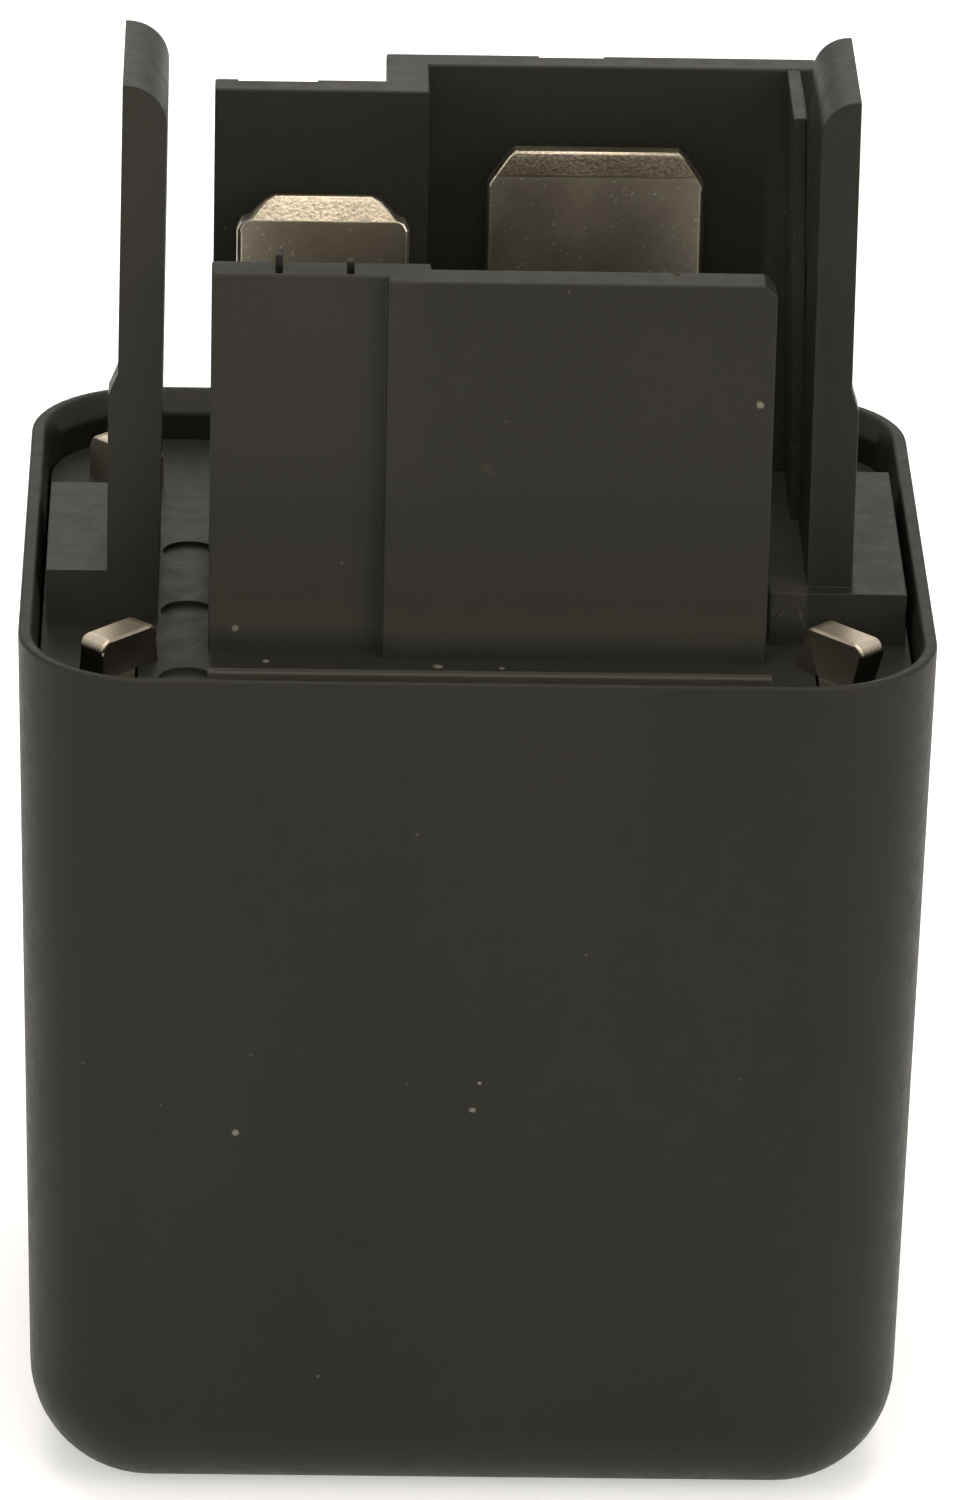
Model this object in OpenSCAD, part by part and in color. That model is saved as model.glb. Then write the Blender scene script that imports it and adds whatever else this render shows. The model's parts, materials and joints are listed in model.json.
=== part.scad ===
// Automotive plug-in relay. The cap stands on its closed end, and the connector side is on top.
// A moulded base closes the cap. It carries a two-step connector shroud, two tall guide rails
// and four blade terminals. Inside, a steel yoke hangs from the base by four twisted tabs. It
// holds a core and coil, and a hinged armature that closes one pair of contacts.
// Millimetres. +Z is up, the origin is the centre of the closed end, and -Y is the low-wall side.

/* [Cap] */
// Width over the rim
cap_w = 33; // [31.5:0.5:40]
// Depth over the rim
cap_d = 29.2; // [28.4:0.2:36]
// Height from the closed end to the rim
cap_h = 33.5; // [33:0.5:40]
// How much each side leans in from the rim to the closed end
cap_draft = 0.5; // [0.1:0.1:0.8]
// Corner radius at the rim, seen from above
cap_corner_r = 4.6; // [4:0.1:5.4]
// Edge radius round the closed end
cap_edge_r = 4.3; // [3:0.1:4.8]
// Chamfer on the outer edge of the rim
rim_chamfer = 0.25; // [0.1:0.05:0.4]
// Wall at the rim on the two short sides
wall_side = 0.65; // [0.6:0.05:1.1]
// Wall at the rim on the two long sides
wall_end = 1.1; // [0.8:0.1:1.2]
// Ledge inside the cap that the base seats on
seat_w = 0.5; // [0.3:0.1:0.6]
// Thickness of the closed end
cap_floor_t = 1.5; // [1:0.1:1.8]

/* [Base] */
// Thickness of the base plate
base_t = 2; // [1.6:0.1:2.2]
// Depth of the base floor under the rim
base_drop = 1.7; // [1.2:0.1:2]
// Running gap between base plate and cap
base_gap = 0.1; // [0.05:0.05:0.2]
// Height of the two side pads over the base floor
pad_h = 2; // [1.5:0.1:2.5]
// Gap between a side pad and the cap
pad_gap = 0.25; // [0.15:0.05:0.4]
// Inner edge of the right pad
pad_right_x = 10.6; // [10.5:0.1:11]
// Front of the left pad, and of the left rail on it
pad_left_front_y = -5; // [-5.4:0.1:-4.5]
// Depth of the left pad, front to back
pad_left_d = 8.7; // [8:0.1:9.5]
// Front of the right pad
pad_right_front_y = -6.4; // [-6.8:0.1:-6.2]
// Depth of the right pad, front to back
pad_right_d = 12.2; // [11.5:0.1:12.8]
// Height of the lip along the front edge of the base
lip_h = 1.5; // [0.8:0.1:1.6]
// Thickness of that lip
lip_t = 0.45; // [0.3:0.05:0.8]
// Radius of the three ejector marks in the floor
mark_r = 1; // [0.6:0.1:1.1]
// Depth of the ejector marks
mark_depth = 0.15; // [0.05:0.05:0.3]

/* [Guide rails] */
// Height of the rails over the base floor
rail_h = 20.6; // [19:0.1:24]
// Depth of each rail, front to back
rail_d = 7.2; // [6:0.1:8]
// Thickness of the left rail at its tip
rail_left_t = 1.6; // [1.2:0.1:1.6]
// Thickness of the right rail at its tip
rail_right_t = 1.4; // [1.2:0.1:1.5]
// Inner face of the left rail at its foot, from the centre
rail_left_x = 11.55; // [11.2:0.05:11.7]
// Inner face of the right rail at its foot, from the centre
rail_right_x = 12; // [11.8:0.05:12.2]
// How far the left rail leans in at its tip
rail_left_lean = 0.2; // [0.05:0.05:0.3]
// How far the right rail leans in at its tip
rail_right_lean = 0.05; // [0.05:0.05:0.3]
// Extra thickness of the front of a rail's foot
rail_foot_extra = 0.25; // [0.1:0.05:0.4]
// Depth of that thicker front
rail_foot_d = 1.2; // [0.8:0.1:2]
// Height of the flare over the base floor
rail_foot_h = 8.8; // [7:0.1:11]
// How far the right rail stands behind the front of its pad
rail_right_setback = 0.6; // [0.3:0.1:1]

/* [Shroud] */
// Left end of both shroud walls, from the centre
shroud_left_x = 9.7; // [9.5:0.1:10]
// Right end of the front wall, from the centre
front_right_x = 10.45; // [10:0.05:10.5]
// Outer face of the front wall on its right, nearer part
front_y = -8.25; // [-8.6:0.05:-8]
// How far the left part of the front wall steps back
front_step = 0.58; // [0.3:0.02:0.8]
// Thickness of the front wall
front_t = 1.4; // [1.1:0.1:1.6]
// Height of the front wall over the base floor
front_h = 14.5; // [12:0.1:16]
// Inner face of the rear wall on its right, deeper part
rear_y = 6.15; // [6:0.05:6.6]
// How far the left part of the rear wall steps forward
rear_step = 3.05; // [2.6:0.05:3.2]
// Thickness of the rear wall
rear_t = 1.2; // [1:0.1:1.5]
// Height of the rear wall over the base floor
rear_h = 17.7; // [16:0.1:19]
// Right end of the rear wall, from the centre
rear_right_x = 12.4; // [12.1:0.1:12.9]
// Outer corner of the steps in both walls, left of the centre
step_x = 3.42; // [3.1:0.02:3.6]
// Width of the web that joins the two parts of each wall
step_web = 1.55; // [1.2:0.05:1.8]
// Front end of the short side wall
side_front_y = 0.8; // [0.4:0.1:2]
// Thickness of the short side wall
side_t = 0.5; // [0.4:0.05:0.6]
// Inner face of the side wall at its top, from the centre
side_top_x = 11.3; // [11.2:0.05:11.5]
// How far the side wall leans outwards at its foot
side_lean = 0.45; // [0.1:0.05:0.6]
// Chamfer on the upper right corner of the front wall
wall_chamfer = 0.4; // [0.2:0.05:0.7]
// Height that the first key rib stands over the front wall
key_proud = 0.35; // [0.1:0.05:0.6]
// Thickness of the key ribs
key_t = 0.26; // [0.2:0.02:0.4]

/* [Blade terminals] */
// Thickness of all four blades
blade_t = 0.8; // [0.6:0.1:0.9]
// Width of the two coil blades
coil_blade_w = 6.3; // [5.6:0.1:6.4]
// Width of the two load blades
load_blade_w = 8; // [7.6:0.1:8.2]
// Centre of the coil blades, left of the centre
coil_blade_x = 5.7; // [5.5:0.05:5.9]
// Centre of the load blades, right of the centre
load_blade_x = 4.32; // [4.2:0.02:4.6]
// Gap between a blade and the nearest shroud wall
blade_wall_gap = 1.45; // [1.35:0.05:1.6]
// Height of the rear coil blade over the base floor
coil_rear_h = 14.2; // [12:0.1:15.5]
// Height of the rear load blade over the base floor
load_rear_h = 15.05; // [12:0.05:16]
// Height of the two front blades over the base floor
front_blade_h = 13.4; // [11:0.1:14]
// Length of the bevel at a blade tip
tip_len = 0.95; // [0.5:0.05:1.2]
// Thickness left at the tip of a coil blade
coil_tip_t = 0.3; // [0.2:0.05:0.5]
// Thickness left at the tip of a load blade
load_tip_t = 0.5; // [0.2:0.05:0.55]
// Corner cut of a blade tip, across
tip_corner_w = 1.4; // [1:0.1:1.8]
// Corner cut of a blade tip, along
tip_corner_h = 1.25; // [0.8:0.05:1.8]
// Clearance of a blade or tab in its slot
slot_clear = 0.05; // [0.02:0.01:0.1]

/* [Yoke] */
// Thickness of the steel yoke
yoke_t = 1.2; // [1:0.1:1.4]
// Gap between the yoke's side plates and the cap's cavity, at the ledge
yoke_gap = 1.85; // [1.65:0.05:2.05]
// Width of the web and of the lower side plates
yoke_web_d = 14; // [13:0.5:15]
// Gap between the web and the closed end of the cap
yoke_lift = 0.3; // [0.2:0.1:0.5]
// Width of a twist tab
tab_w = 2.8; // [2.4:0.1:3]
// Centre of the tabs, in front of and behind the middle
tab_y = 9.15; // [9.1:0.05:9.4]
// Height of a tab head over the base floor
tab_h = 1.28; // [1:0.02:1.6]
// Twist of the tab heads, in degrees
tab_twist = 46; // [30:1:60]
// Corner radius on top of a tab head
tab_top_r = 0.4; // [0.2:0.05:0.8]

/* [Coil] */
// Radius of the core
core_r = 3.5; // [3:0.1:3.8]
// Radius of the spigot that is riveted into the web
spigot_r = 2; // [1.5:0.1:2.5]
// Radius of the pole face
pole_r = 4.8; // [4.5:0.1:5]
// Thickness of the pole face
pole_t = 1; // [0.8:0.1:1.4]
// Room between the bobbin and the base, for the armature and contacts
head_room = 7.3; // [6.8:0.1:9.8]
// Radius of the bobbin flanges
flange_r = 8.7; // [8.5:0.05:8.8]
// Thickness of the bobbin flanges
flange_t = 1; // [0.8:0.1:1.4]
// Wall of the bobbin tube
tube_t = 0.9; // [0.6:0.1:1.2]
// Outer radius of the winding
winding_r = 7.5; // [7:0.1:7.6]
// Diameter of one ridge of the winding
turn_d = 1; // [0.6:0.1:1.4]
// Thickness of the tape round the winding
tape_t = 0.1; // [0.06:0.02:0.14]
// Radius of a coil lead
lead_r = 0.25; // [0.2:0.01:0.28]

/* [Armature and contacts] */
// Thickness of the armature
arm_t = 1.4; // [1:0.1:1.6]
// Width of the armature
arm_w = 12; // [11:0.5:12.5]
// Reach of the armature past the middle of the pole face
arm_reach = 4.8; // [4.6:0.1:5.2]
// Reach of the armature tail past the hinge edge
tail_len = 0.7; // [0.4:0.1:0.8]
// How far the armature stands open at rest, in degrees
open_angle = 2.4; // [1.5:0.1:3]
// Air gap left at the pole face when the armature is closed
pole_gap = 0.05; // [0.03:0.01:0.1]
// Gap left at the hinge edge when the armature is closed
hinge_gap = 0.03; // [0.02:0.01:0.05]
// Thickness of the contact spring
spring_t = 0.3; // [0.2:0.05:0.4]
// Distance from the contacts' centre to the yoke's right plate
contact_inset = 1.8; // [1.6:0.05:1.9]
// Radius of the contact buttons
contact_r = 1.5; // [1.2:0.05:1.5]
// Height of the contact buttons
contact_h = 0.9; // [0.6:0.05:1.1]
// Gap left between the closed contacts
contact_gap = 0.03; // [0.02:0.01:0.05]
// Thickness of the hinge spring leaf
leaf_t = 0.25; // [0.2:0.05:0.3]
// Width of the hinge spring leaf
leaf_w = 6; // [4:0.5:8]
// Shank radius of the rivets
rivet_r = 0.7; // [0.5:0.05:0.8]
// Radial clearance of a rivet in its hole
rivet_clear = 0.03; // [0.02:0.01:0.05]

/* [Hidden] */

arc_fn = 36;               // facets of a hull's round children
round_fn = 64;             // true circles
thin = 0.01;               // height of the discs that a hull is drawn between
eps = 0.02;                // overshoot of a cut past a face

// Levels
floor_z = cap_h - base_drop;               // top of the base plate
seat_z = floor_z - base_t;                 // underside of the base plate, on the cap's ledge
web_z = cap_floor_t + yoke_lift;           // underside of the yoke web
bobbin_z = web_z + yoke_t;                 // bobbin stands on the web
flange_top_z = seat_z - head_room;         // top of the upper bobbin flange
bobbin_h = flange_top_z - bobbin_z;
pole_z = flange_top_z + pole_t;            // pole face
arm_z = pole_z + pole_gap;                 // underside of the closed armature
spring_z = arm_z + arm_t;                  // underside of the contact spring, closed
contact_plate_z = spring_z - 2 * contact_h - contact_gap;   // top of the fixed contact's plate

// Cap openings
open_half_w = cap_w / 2 - wall_side;
open_half_d = cap_d / 2 - wall_end;
open_r = cap_corner_r - wall_side;
cavity_half_w = open_half_w - seat_w;
cavity_half_d = open_half_d - seat_w;
cavity_edge_r = 2;                         // edge radius inside the closed end
closed_w = cap_w - 2 * cap_draft;
closed_d = cap_d - 2 * cap_draft;

// Base
pad_outer_x = open_half_w - pad_gap;
lip_gap = 0.25;                            // groove between lip and cap
mark_x = -10.45;
mark_ys = [1.95, -3.9, -10.25];
rail_flare_h = 0.9;                        // height over which a rail's foot flares out
post_size = [2, 3];                        // armature stop under the base
post_x = -1.15;
stop_gap = 0.04;                           // gap between the stop and the open armature

// Shroud
inner_step_x = step_x - step_web;          // inner corner of the wall steps, left of centre
front_in_y = front_y + front_t;            // inner face, right part
front_left_in_y = front_in_y + front_step; // inner face, left part
rear_left_y = rear_y - rear_step;          // inner face of the rear wall, left part
key_xs = [-7.3, -4.75];
key_depth = 0.5;                           // depth of the notch in front of each key rib
key_skin = 0.15;                           // skin left in front of those notches
dip_d = 0.25;                              // shallow dips in the rear wall's top
dips = [[-7.4, 2.9], [3.4, 2.4]];          // centre and width of each dip
dip_h = 1.2;
corner_break = [0.42, 0.34];               // where a blade's corner changes slope, as shares

// Blades, centre planes
coil_rear_y = rear_left_y - blade_wall_gap - blade_t / 2;
load_rear_y = rear_y - blade_wall_gap - blade_t / 2;
coil_front_y = front_left_in_y + blade_wall_gap + blade_t / 2;
load_front_y = front_in_y + blade_wall_gap + blade_t / 2;

// Yoke
yoke_w = 2 * (cavity_half_w - yoke_gap);   // width over the side plates
plate_in_x = yoke_w / 2 - yoke_t;          // inner face of the side plates
plate_mid_x = yoke_w / 2 - yoke_t / 2;
bend_r = 0.6;                              // inner radius of the yoke bends
leg_out_y = tab_y + tab_w / 2;
leg_in_y = 7.5;                            // inner edge of the upper legs
leg_flare_z = 15;                          // where the side plates widen
leg_flare_h = 1.5;
notch_z = 16.5;                            // floor of the right plate's notch
knife_z = arm_z - hinge_gap;               // hinge edge on the left plate
hinge_x = -yoke_w / 2;

// Terminal feet inside the cap
contact_x = plate_in_x - contact_inset;    // centre of both contacts
shoulder_h = 2.5;                          // height of the load terminals under the base
strap_t = blade_t;
coil_leg_w = 3;
coil_leg_x = -4.4;                         // centre of the coil terminal legs
coil_leg_gap = 0.9;                        // gap between those legs and the armature's edge
coil_leg_y = arm_w / 2 + coil_leg_gap;     // inner face of those legs
leg_lift = 0.3;                            // gap between a coil leg and the bobbin flange
tape_gap = 0.02;                           // gap between the winding and its tape
leg_margin = 0.1;                          // rear load terminal's leg past its contact button
leg_plate_gap = 0.3;                       // gap between that leg and the yoke's right plate
load_leg_x = contact_x - contact_r - leg_margin;   // left edge of the leg
load_leg_w = plate_in_x - leg_plate_gap - load_leg_x;
contact_plate_d = 1.9;                     // reach of the contact plate in front of the middle
flange_gap = 0.15;                         // gap kept between that leg and the bobbin flange
weld_d = 2;                                // overlap of the front load terminal on the yoke

// Leads and rivets
lead_y = coil_leg_y - lead_r;
lead_x = coil_leg_x;
lead_clear = 0.08;
lead_rise = 3;                             // length of a lead over the bobbin
lead_tail = 3;                             // length of a lead beside the winding
rivet_head_r = 1.1;
rivet_head_t = 0.4;
arm_rivet_x = -6.6;
arm_rivet_y = 2;
leaf_rivet_z = 13;
leaf_rivet_y = 1.8;
leaf_end_z = 10.5;
leaf_out = 0.75;                           // how far the leaf stands off past the tail
leaf_press_gap = 0.06;                     // gap between the leaf and the armature's top
shank_r = 0.6;                             // shank of a contact button
contact_head_r = 1;
contact_head_t = 0.3;

// Shared shapes

// Plate with round corners, standing on z = 0
module rounded_plate(w, d, h, r) {
    linear_extrude(h)
        union() {
            square([w - 2 * r, d], center = true);
            square([w, d - 2 * r], center = true);
            for (x = [-1, 1], y = [-1, 1])
                translate([x * (w / 2 - r), y * (d / 2 - r)]) circle(r, $fn = round_fn);
        }
}

// Four thin corner discs for a hull
module corner_discs(half_w, half_d, r, z) {
    for (x = [-1, 1], y = [-1, 1])
        translate([x * (half_w - r), y * (half_d - r), z]) cylinder(h = thin, r = r, $fn = arc_fn);
}

// Four corner balls that round the closed end, with a flat between them
module corner_balls(half_w, half_d, r, z) {
    for (x = [-1, 1], y = [-1, 1])
        translate([x * (half_w - r), y * (half_d - r), z + r]) sphere(r, $fn = arc_fn);
    translate([-(half_w - r), -(half_d - r), z]) cube([2 * (half_w - r), 2 * (half_d - r), r]);
}

// Outline in X and Z, given a depth along Y about y
module xz_plate(y, t) {
    translate([0, y + t / 2, 0]) rotate([90, 0, 0]) linear_extrude(t) children();
}

// Outline in Y and Z, given a thickness along +X from x
module yz_plate(x, t) {
    translate([x, 0, 0]) rotate([90, 0, 90]) linear_extrude(t) children();
}

// Blade from z0 up to the tip, centred on x and y, with two-step corners and bevelled faces
module blade(x, y, w, z0, tip_z, tip_t) {
    slope = (blade_t - tip_t) / 2;
    half = w / 2;
    mid_w = tip_corner_w * corner_break[0];
    mid_h = tip_corner_h * (1 - corner_break[1]);
    intersection() {
        xz_plate(y, blade_t)
            polygon([[x - half, z0], [x + half, z0], [x + half, tip_z - tip_corner_h],
                     [x + half - mid_w, tip_z - mid_h], [x + half - tip_corner_w, tip_z],
                     [x - half + tip_corner_w, tip_z], [x - half + mid_w, tip_z - mid_h],
                     [x - half, tip_z - tip_corner_h]]);
        yz_plate(x - w / 2, w)
            polygon([[y - blade_t / 2, z0], [y + blade_t / 2, z0],
                     [y + blade_t / 2, tip_z - tip_len], [y + blade_t / 2 - slope, tip_z],
                     [y - blade_t / 2 + slope, tip_z], [y - blade_t / 2, tip_z - tip_len]]);
    }
}

// Slot through the base plate for a blade
module blade_slot(x, y, w) {
    translate([x - w / 2 - slot_clear, y - blade_t / 2 - slot_clear, seat_z - eps])
        cube([w + 2 * slot_clear, blade_t + 2 * slot_clear, base_t + 2 * eps]);
}

// Places closed armature parts in their open rest position
module at_rest() {
    translate([hinge_x, 0, arm_z]) rotate([0, -open_angle, 0]) translate([-hinge_x, 0, -arm_z])
        children();
}

// Button contact with its shank and clinched head; dir is 1 with the button on top
module contact_button(r, plate_t, dir) {
    mirror([0, 0, dir > 0 ? 0 : 1]) {
        cylinder(h = contact_h, r = r, $fn = round_fn);
        translate([0, 0, -plate_t]) cylinder(h = plate_t, r = shank_r, $fn = round_fn);
        translate([0, 0, -plate_t - contact_head_t])
            cylinder(h = contact_head_t, r = contact_head_r, $fn = round_fn);
    }
}

// Rivet along +Z through a stack, with a head at both ends
module rivet(grip) {
    cylinder(h = grip, r = rivet_r, $fn = round_fn);
    for (z = [-rivet_head_t, grip])
        translate([0, 0, z]) cylinder(h = rivet_head_t, r = rivet_head_r, $fn = round_fn);
}

// Cap

module cap() {
    color([0.16, 0.155, 0.14])
    difference() {
        hull() {
            corner_balls(closed_w / 2, closed_d / 2, cap_edge_r, 0);
            corner_discs(cap_w / 2, cap_d / 2, cap_corner_r, cap_h - rim_chamfer - thin);
            corner_discs(cap_w / 2 - rim_chamfer, cap_d / 2 - rim_chamfer,
                         cap_corner_r - rim_chamfer, cap_h - thin);
        }
        hull() {
            corner_balls(closed_w / 2 - wall_side - seat_w, closed_d / 2 - wall_end - seat_w,
                         cavity_edge_r, cap_floor_t);
            corner_discs(cavity_half_w, cavity_half_d, open_r - seat_w, seat_z - thin);
        }
        translate([0, 0, seat_z])
            rounded_plate(2 * open_half_w, 2 * open_half_d, cap_h - seat_z + eps, open_r);
        translate([0, 0, seat_z - eps])
            rounded_plate(2 * cavity_half_w, 2 * cavity_half_d, 2 * eps, open_r - seat_w);
    }
}

// Base, moulded in one piece

// Section of a guide rail, outwards from its inner face: it leans in and its inner top is round
module rail_section(t, lean) {
    h = floor_z + rail_h;
    difference() {
        polygon([[0, floor_z], [t, floor_z], [t - lean, h], [-lean, h]]);
        translate([-lean, h - t])
            difference() {
                translate([-t / 4, 0]) square([5 * t / 4, t + eps]);
                translate([t, 0]) circle(t, $fn = round_fn);
            }
    }
}

// Outer side of a rail's foot, thicker over a short depth, with a flare that runs out upwards
module rail_foot_section(t, lean) {
    foot = floor_z + rail_foot_h;
    polygon([[t / 2, floor_z], [t + rail_foot_extra, floor_z], [t + rail_foot_extra, foot],
             [t - lean, foot + rail_flare_h], [t / 2, foot + rail_flare_h]]);
}

// One rail; side is -1 on the left and 1 on the right
module guide_rail(side, x, front, t, lean) {
    xz_plate(front + rail_d / 2, rail_d)
        translate([side * x, 0]) mirror([side < 0 ? 1 : 0, 0]) rail_section(t, lean);
    xz_plate(front + rail_foot_d / 2, rail_foot_d)
        translate([side * x, 0]) mirror([side < 0 ? 1 : 0, 0]) rail_foot_section(t, lean);
}

module guide_rails() {
    guide_rail(-1, rail_left_x, pad_left_front_y, rail_left_t, rail_left_lean);
    guide_rail(1, rail_right_x, pad_right_front_y + rail_right_setback, rail_right_t,
               rail_right_lean);
}

module side_pads() {
    translate([-pad_outer_x, pad_left_front_y, floor_z])
        cube([pad_outer_x - rail_left_x, pad_left_d, pad_h]);
    translate([pad_right_x, pad_right_front_y, floor_z])
        cube([pad_outer_x - pad_right_x, pad_right_d, pad_h]);
}

module front_wall() {
    top = floor_z + front_h;
    difference() {
        translate([0, 0, floor_z]) linear_extrude(front_h)
            polygon([[-shroud_left_x, front_y + front_step], [-step_x, front_y + front_step],
                     [-step_x, front_y], [front_right_x, front_y], [front_right_x, front_in_y],
                     [-inner_step_x, front_in_y], [-inner_step_x, front_left_in_y],
                     [-shroud_left_x, front_left_in_y]]);
        xz_plate(front_y + front_t / 2, front_t + 2 * eps)
            polygon([[front_right_x + eps, top + eps], [front_right_x - wall_chamfer, top + eps],
                     [front_right_x - wall_chamfer, top], [front_right_x, top - wall_chamfer],
                     [front_right_x + eps, top - wall_chamfer]]);
        for (x = key_xs)
            translate([x - key_t / 2, front_y + front_step + key_skin, top - key_depth])
                cube([key_t, front_t, key_depth + eps]);
    }
    for (i = [0 : 1])
        translate([key_xs[i] - key_t / 2, front_left_in_y - key_t, floor_z])
            cube([key_t, 2 * key_t, front_h + key_proud * (i == 0 ? 1 : 0.4)]);
}

module rear_wall() {
    top = floor_z + rear_h;
    back_y = rear_y + rear_t;
    difference() {
        translate([0, 0, floor_z]) linear_extrude(rear_h)
            polygon([[-shroud_left_x, rear_left_y], [-inner_step_x, rear_left_y],
                     [-inner_step_x, rear_y], [rear_right_x, rear_y], [rear_right_x, back_y],
                     [-step_x, back_y], [-step_x, rear_left_y + rear_t],
                     [-shroud_left_x, rear_left_y + rear_t]]);
        translate([dips[0][0] - dips[0][1] / 2, rear_left_y + rear_t - dip_d, top - dip_h])
            cube([dips[0][1], dip_d + eps, dip_h + eps]);
        translate([dips[1][0] - dips[1][1] / 2, back_y - dip_d, top - dip_h])
            cube([dips[1][1], dip_d + eps, dip_h + eps]);
    }
}

module side_wall() {
    d = rear_y - side_front_y + rear_t / 2;
    top = floor_z + rear_h;
    xz_plate(side_front_y + d / 2, d)
        polygon([[side_top_x + side_lean, floor_z], [side_top_x + side_lean + side_t, floor_z],
                 [side_top_x + side_t, top], [side_top_x, top]]);
}

// Post under the base that stops the open armature
module armature_stop() {
    reach = post_x + post_size[0] / 2 - hinge_x;
    tip = spring_z + spring_t + reach * sin(open_angle) + stop_gap;
    translate([post_x - post_size[0] / 2, -post_size[1] / 2, tip])
        cube([post_size[0], post_size[1], seat_z - tip + eps]);
}

module base() {
    color([0.15, 0.145, 0.13])
    difference() {
        union() {
            translate([0, 0, seat_z])
                rounded_plate(2 * (open_half_w - base_gap), 2 * (open_half_d - base_gap), base_t,
                              open_r - base_gap);
            side_pads();
            guide_rails();
            front_wall();
            rear_wall();
            side_wall();
            armature_stop();
            translate([-shroud_left_x, -open_half_d + lip_gap, floor_z - eps])
                cube([shroud_left_x + front_right_x, lip_t, lip_h + eps]);
        }
        for (y = mark_ys)
            translate([mark_x, y, floor_z - mark_depth])
                cylinder(h = mark_depth + eps, r = mark_r, $fn = round_fn);
        for (x = [-1, 1], y = [-1, 1])
            translate([x * plate_mid_x - yoke_t / 2 - slot_clear,
                       y * tab_y - tab_w / 2 - slot_clear, seat_z - eps])
                cube([yoke_t + 2 * slot_clear, tab_w + 2 * slot_clear, base_t + 2 * eps]);
        for (y = [coil_front_y, coil_rear_y]) blade_slot(-coil_blade_x, y, coil_blade_w);
        for (y = [load_front_y, load_rear_y]) blade_slot(load_blade_x, y, load_blade_w);
    }
}

// Yoke: a steel U with four legs, each ending in a twisted tab

module yoke_u() {
    out_r = bend_r + yoke_t;
    xz_plate(0, yoke_web_d)
        difference() {
            union() {
                translate([-yoke_w / 2, web_z + out_r]) square([yoke_w, leg_flare_z - web_z - out_r]);
                translate([-yoke_w / 2 + out_r, web_z]) square([yoke_w - 2 * out_r, out_r + eps]);
                for (s = [-1, 1])
                    translate([s * (yoke_w / 2 - out_r), web_z + out_r]) circle(out_r, $fn = round_fn);
            }
            translate([-plate_in_x, web_z + out_r])
                square([2 * plate_in_x, leg_flare_z - web_z - out_r + eps]);
            translate([-plate_in_x + bend_r, web_z + yoke_t])
                square([2 * (plate_in_x - bend_r), bend_r + eps]);
            for (s = [-1, 1])
                translate([s * (plate_in_x - bend_r), web_z + out_r]) circle(bend_r, $fn = round_fn);
        }
}

// Upper side plate: widens to two legs with a notch between them
module yoke_plate(x, notch) {
    half = yoke_web_d / 2;
    flare = leg_flare_z + leg_flare_h;
    yz_plate(x, yoke_t)
        polygon([[-half, leg_flare_z], [half, leg_flare_z], [leg_out_y, flare],
                 [leg_out_y, seat_z], [leg_in_y, seat_z], [leg_in_y, notch], [-leg_in_y, notch],
                 [-leg_in_y, seat_z], [-leg_out_y, seat_z], [-leg_out_y, flare]]);
}

// Tab: a straight neck in the slot and a twisted head with round top corners on the floor
module twist_tab(side, y) {
    head = [tab_w / 2, tab_h];
    translate([side * plate_mid_x - yoke_t / 2, y - tab_w / 2, seat_z])
        cube([yoke_t, tab_w, base_t + eps]);
    translate([side * plate_mid_x, y, floor_z])
        rotate([0, 0, -sign(side * y) * (90 - tab_twist) + 90])
            xz_plate(0, yoke_t)
                union() {
                    translate([-head[0], 0]) square([tab_w, tab_h - tab_top_r]);
                    translate([-head[0] + tab_top_r, 0]) square([tab_w - 2 * tab_top_r, tab_h]);
                    for (s = [-1, 1])
                        translate([s * (head[0] - tab_top_r), tab_h - tab_top_r])
                            circle(tab_top_r, $fn = round_fn);
                }
}

module yoke() {
    color([0.62, 0.6, 0.55])
    difference() {
        union() {
            yoke_u();
            yoke_plate(-yoke_w / 2, knife_z);
            yoke_plate(plate_in_x, notch_z);
            for (x = [-1, 1], y = [-tab_y, tab_y]) twist_tab(x, y);
        }
        translate([0, 0, web_z - eps])
            cylinder(h = yoke_t + 2 * eps, r = spigot_r + rivet_clear, $fn = round_fn);
        for (y = [-leaf_rivet_y, leaf_rivet_y])
            translate([hinge_x - eps, y, leaf_rivet_z]) rotate([0, 90, 0])
                cylinder(h = yoke_t + 2 * eps, r = rivet_r + rivet_clear, $fn = round_fn);
    }
}

// Electromagnet

module core() {
    color([0.66, 0.65, 0.62]) union() {
        translate([0, 0, web_z]) cylinder(h = yoke_t + eps, r = spigot_r, $fn = round_fn);
        translate([0, 0, bobbin_z]) cylinder(h = bobbin_h + eps, r = core_r, $fn = round_fn);
        translate([0, 0, flange_top_z]) cylinder(h = pole_t, r = pole_r, $fn = round_fn);
    }
}

module bobbin() {
    bore_r = core_r + slot_clear;
    tube_r = bore_r + tube_t;
    color([0.85, 0.83, 0.76])
    difference() {
        translate([0, 0, bobbin_z]) rotate_extrude($fn = round_fn)
            polygon([[bore_r, 0], [flange_r, 0], [flange_r, flange_t], [tube_r, flange_t],
                     [tube_r, bobbin_h - flange_t], [flange_r, bobbin_h - flange_t],
                     [flange_r, bobbin_h], [bore_r, bobbin_h]]);
        for (y = [-lead_y, lead_y])
            translate([lead_x, y, flange_top_z - flange_t - eps])
                cylinder(h = flange_t + 2 * eps, r = lead_r + lead_clear, $fn = round_fn);
        translate([load_leg_x - flange_gap, -flange_r, flange_top_z - flange_t])
            cube([flange_r, 2 * flange_r, flange_t + eps]);
    }
}

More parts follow.
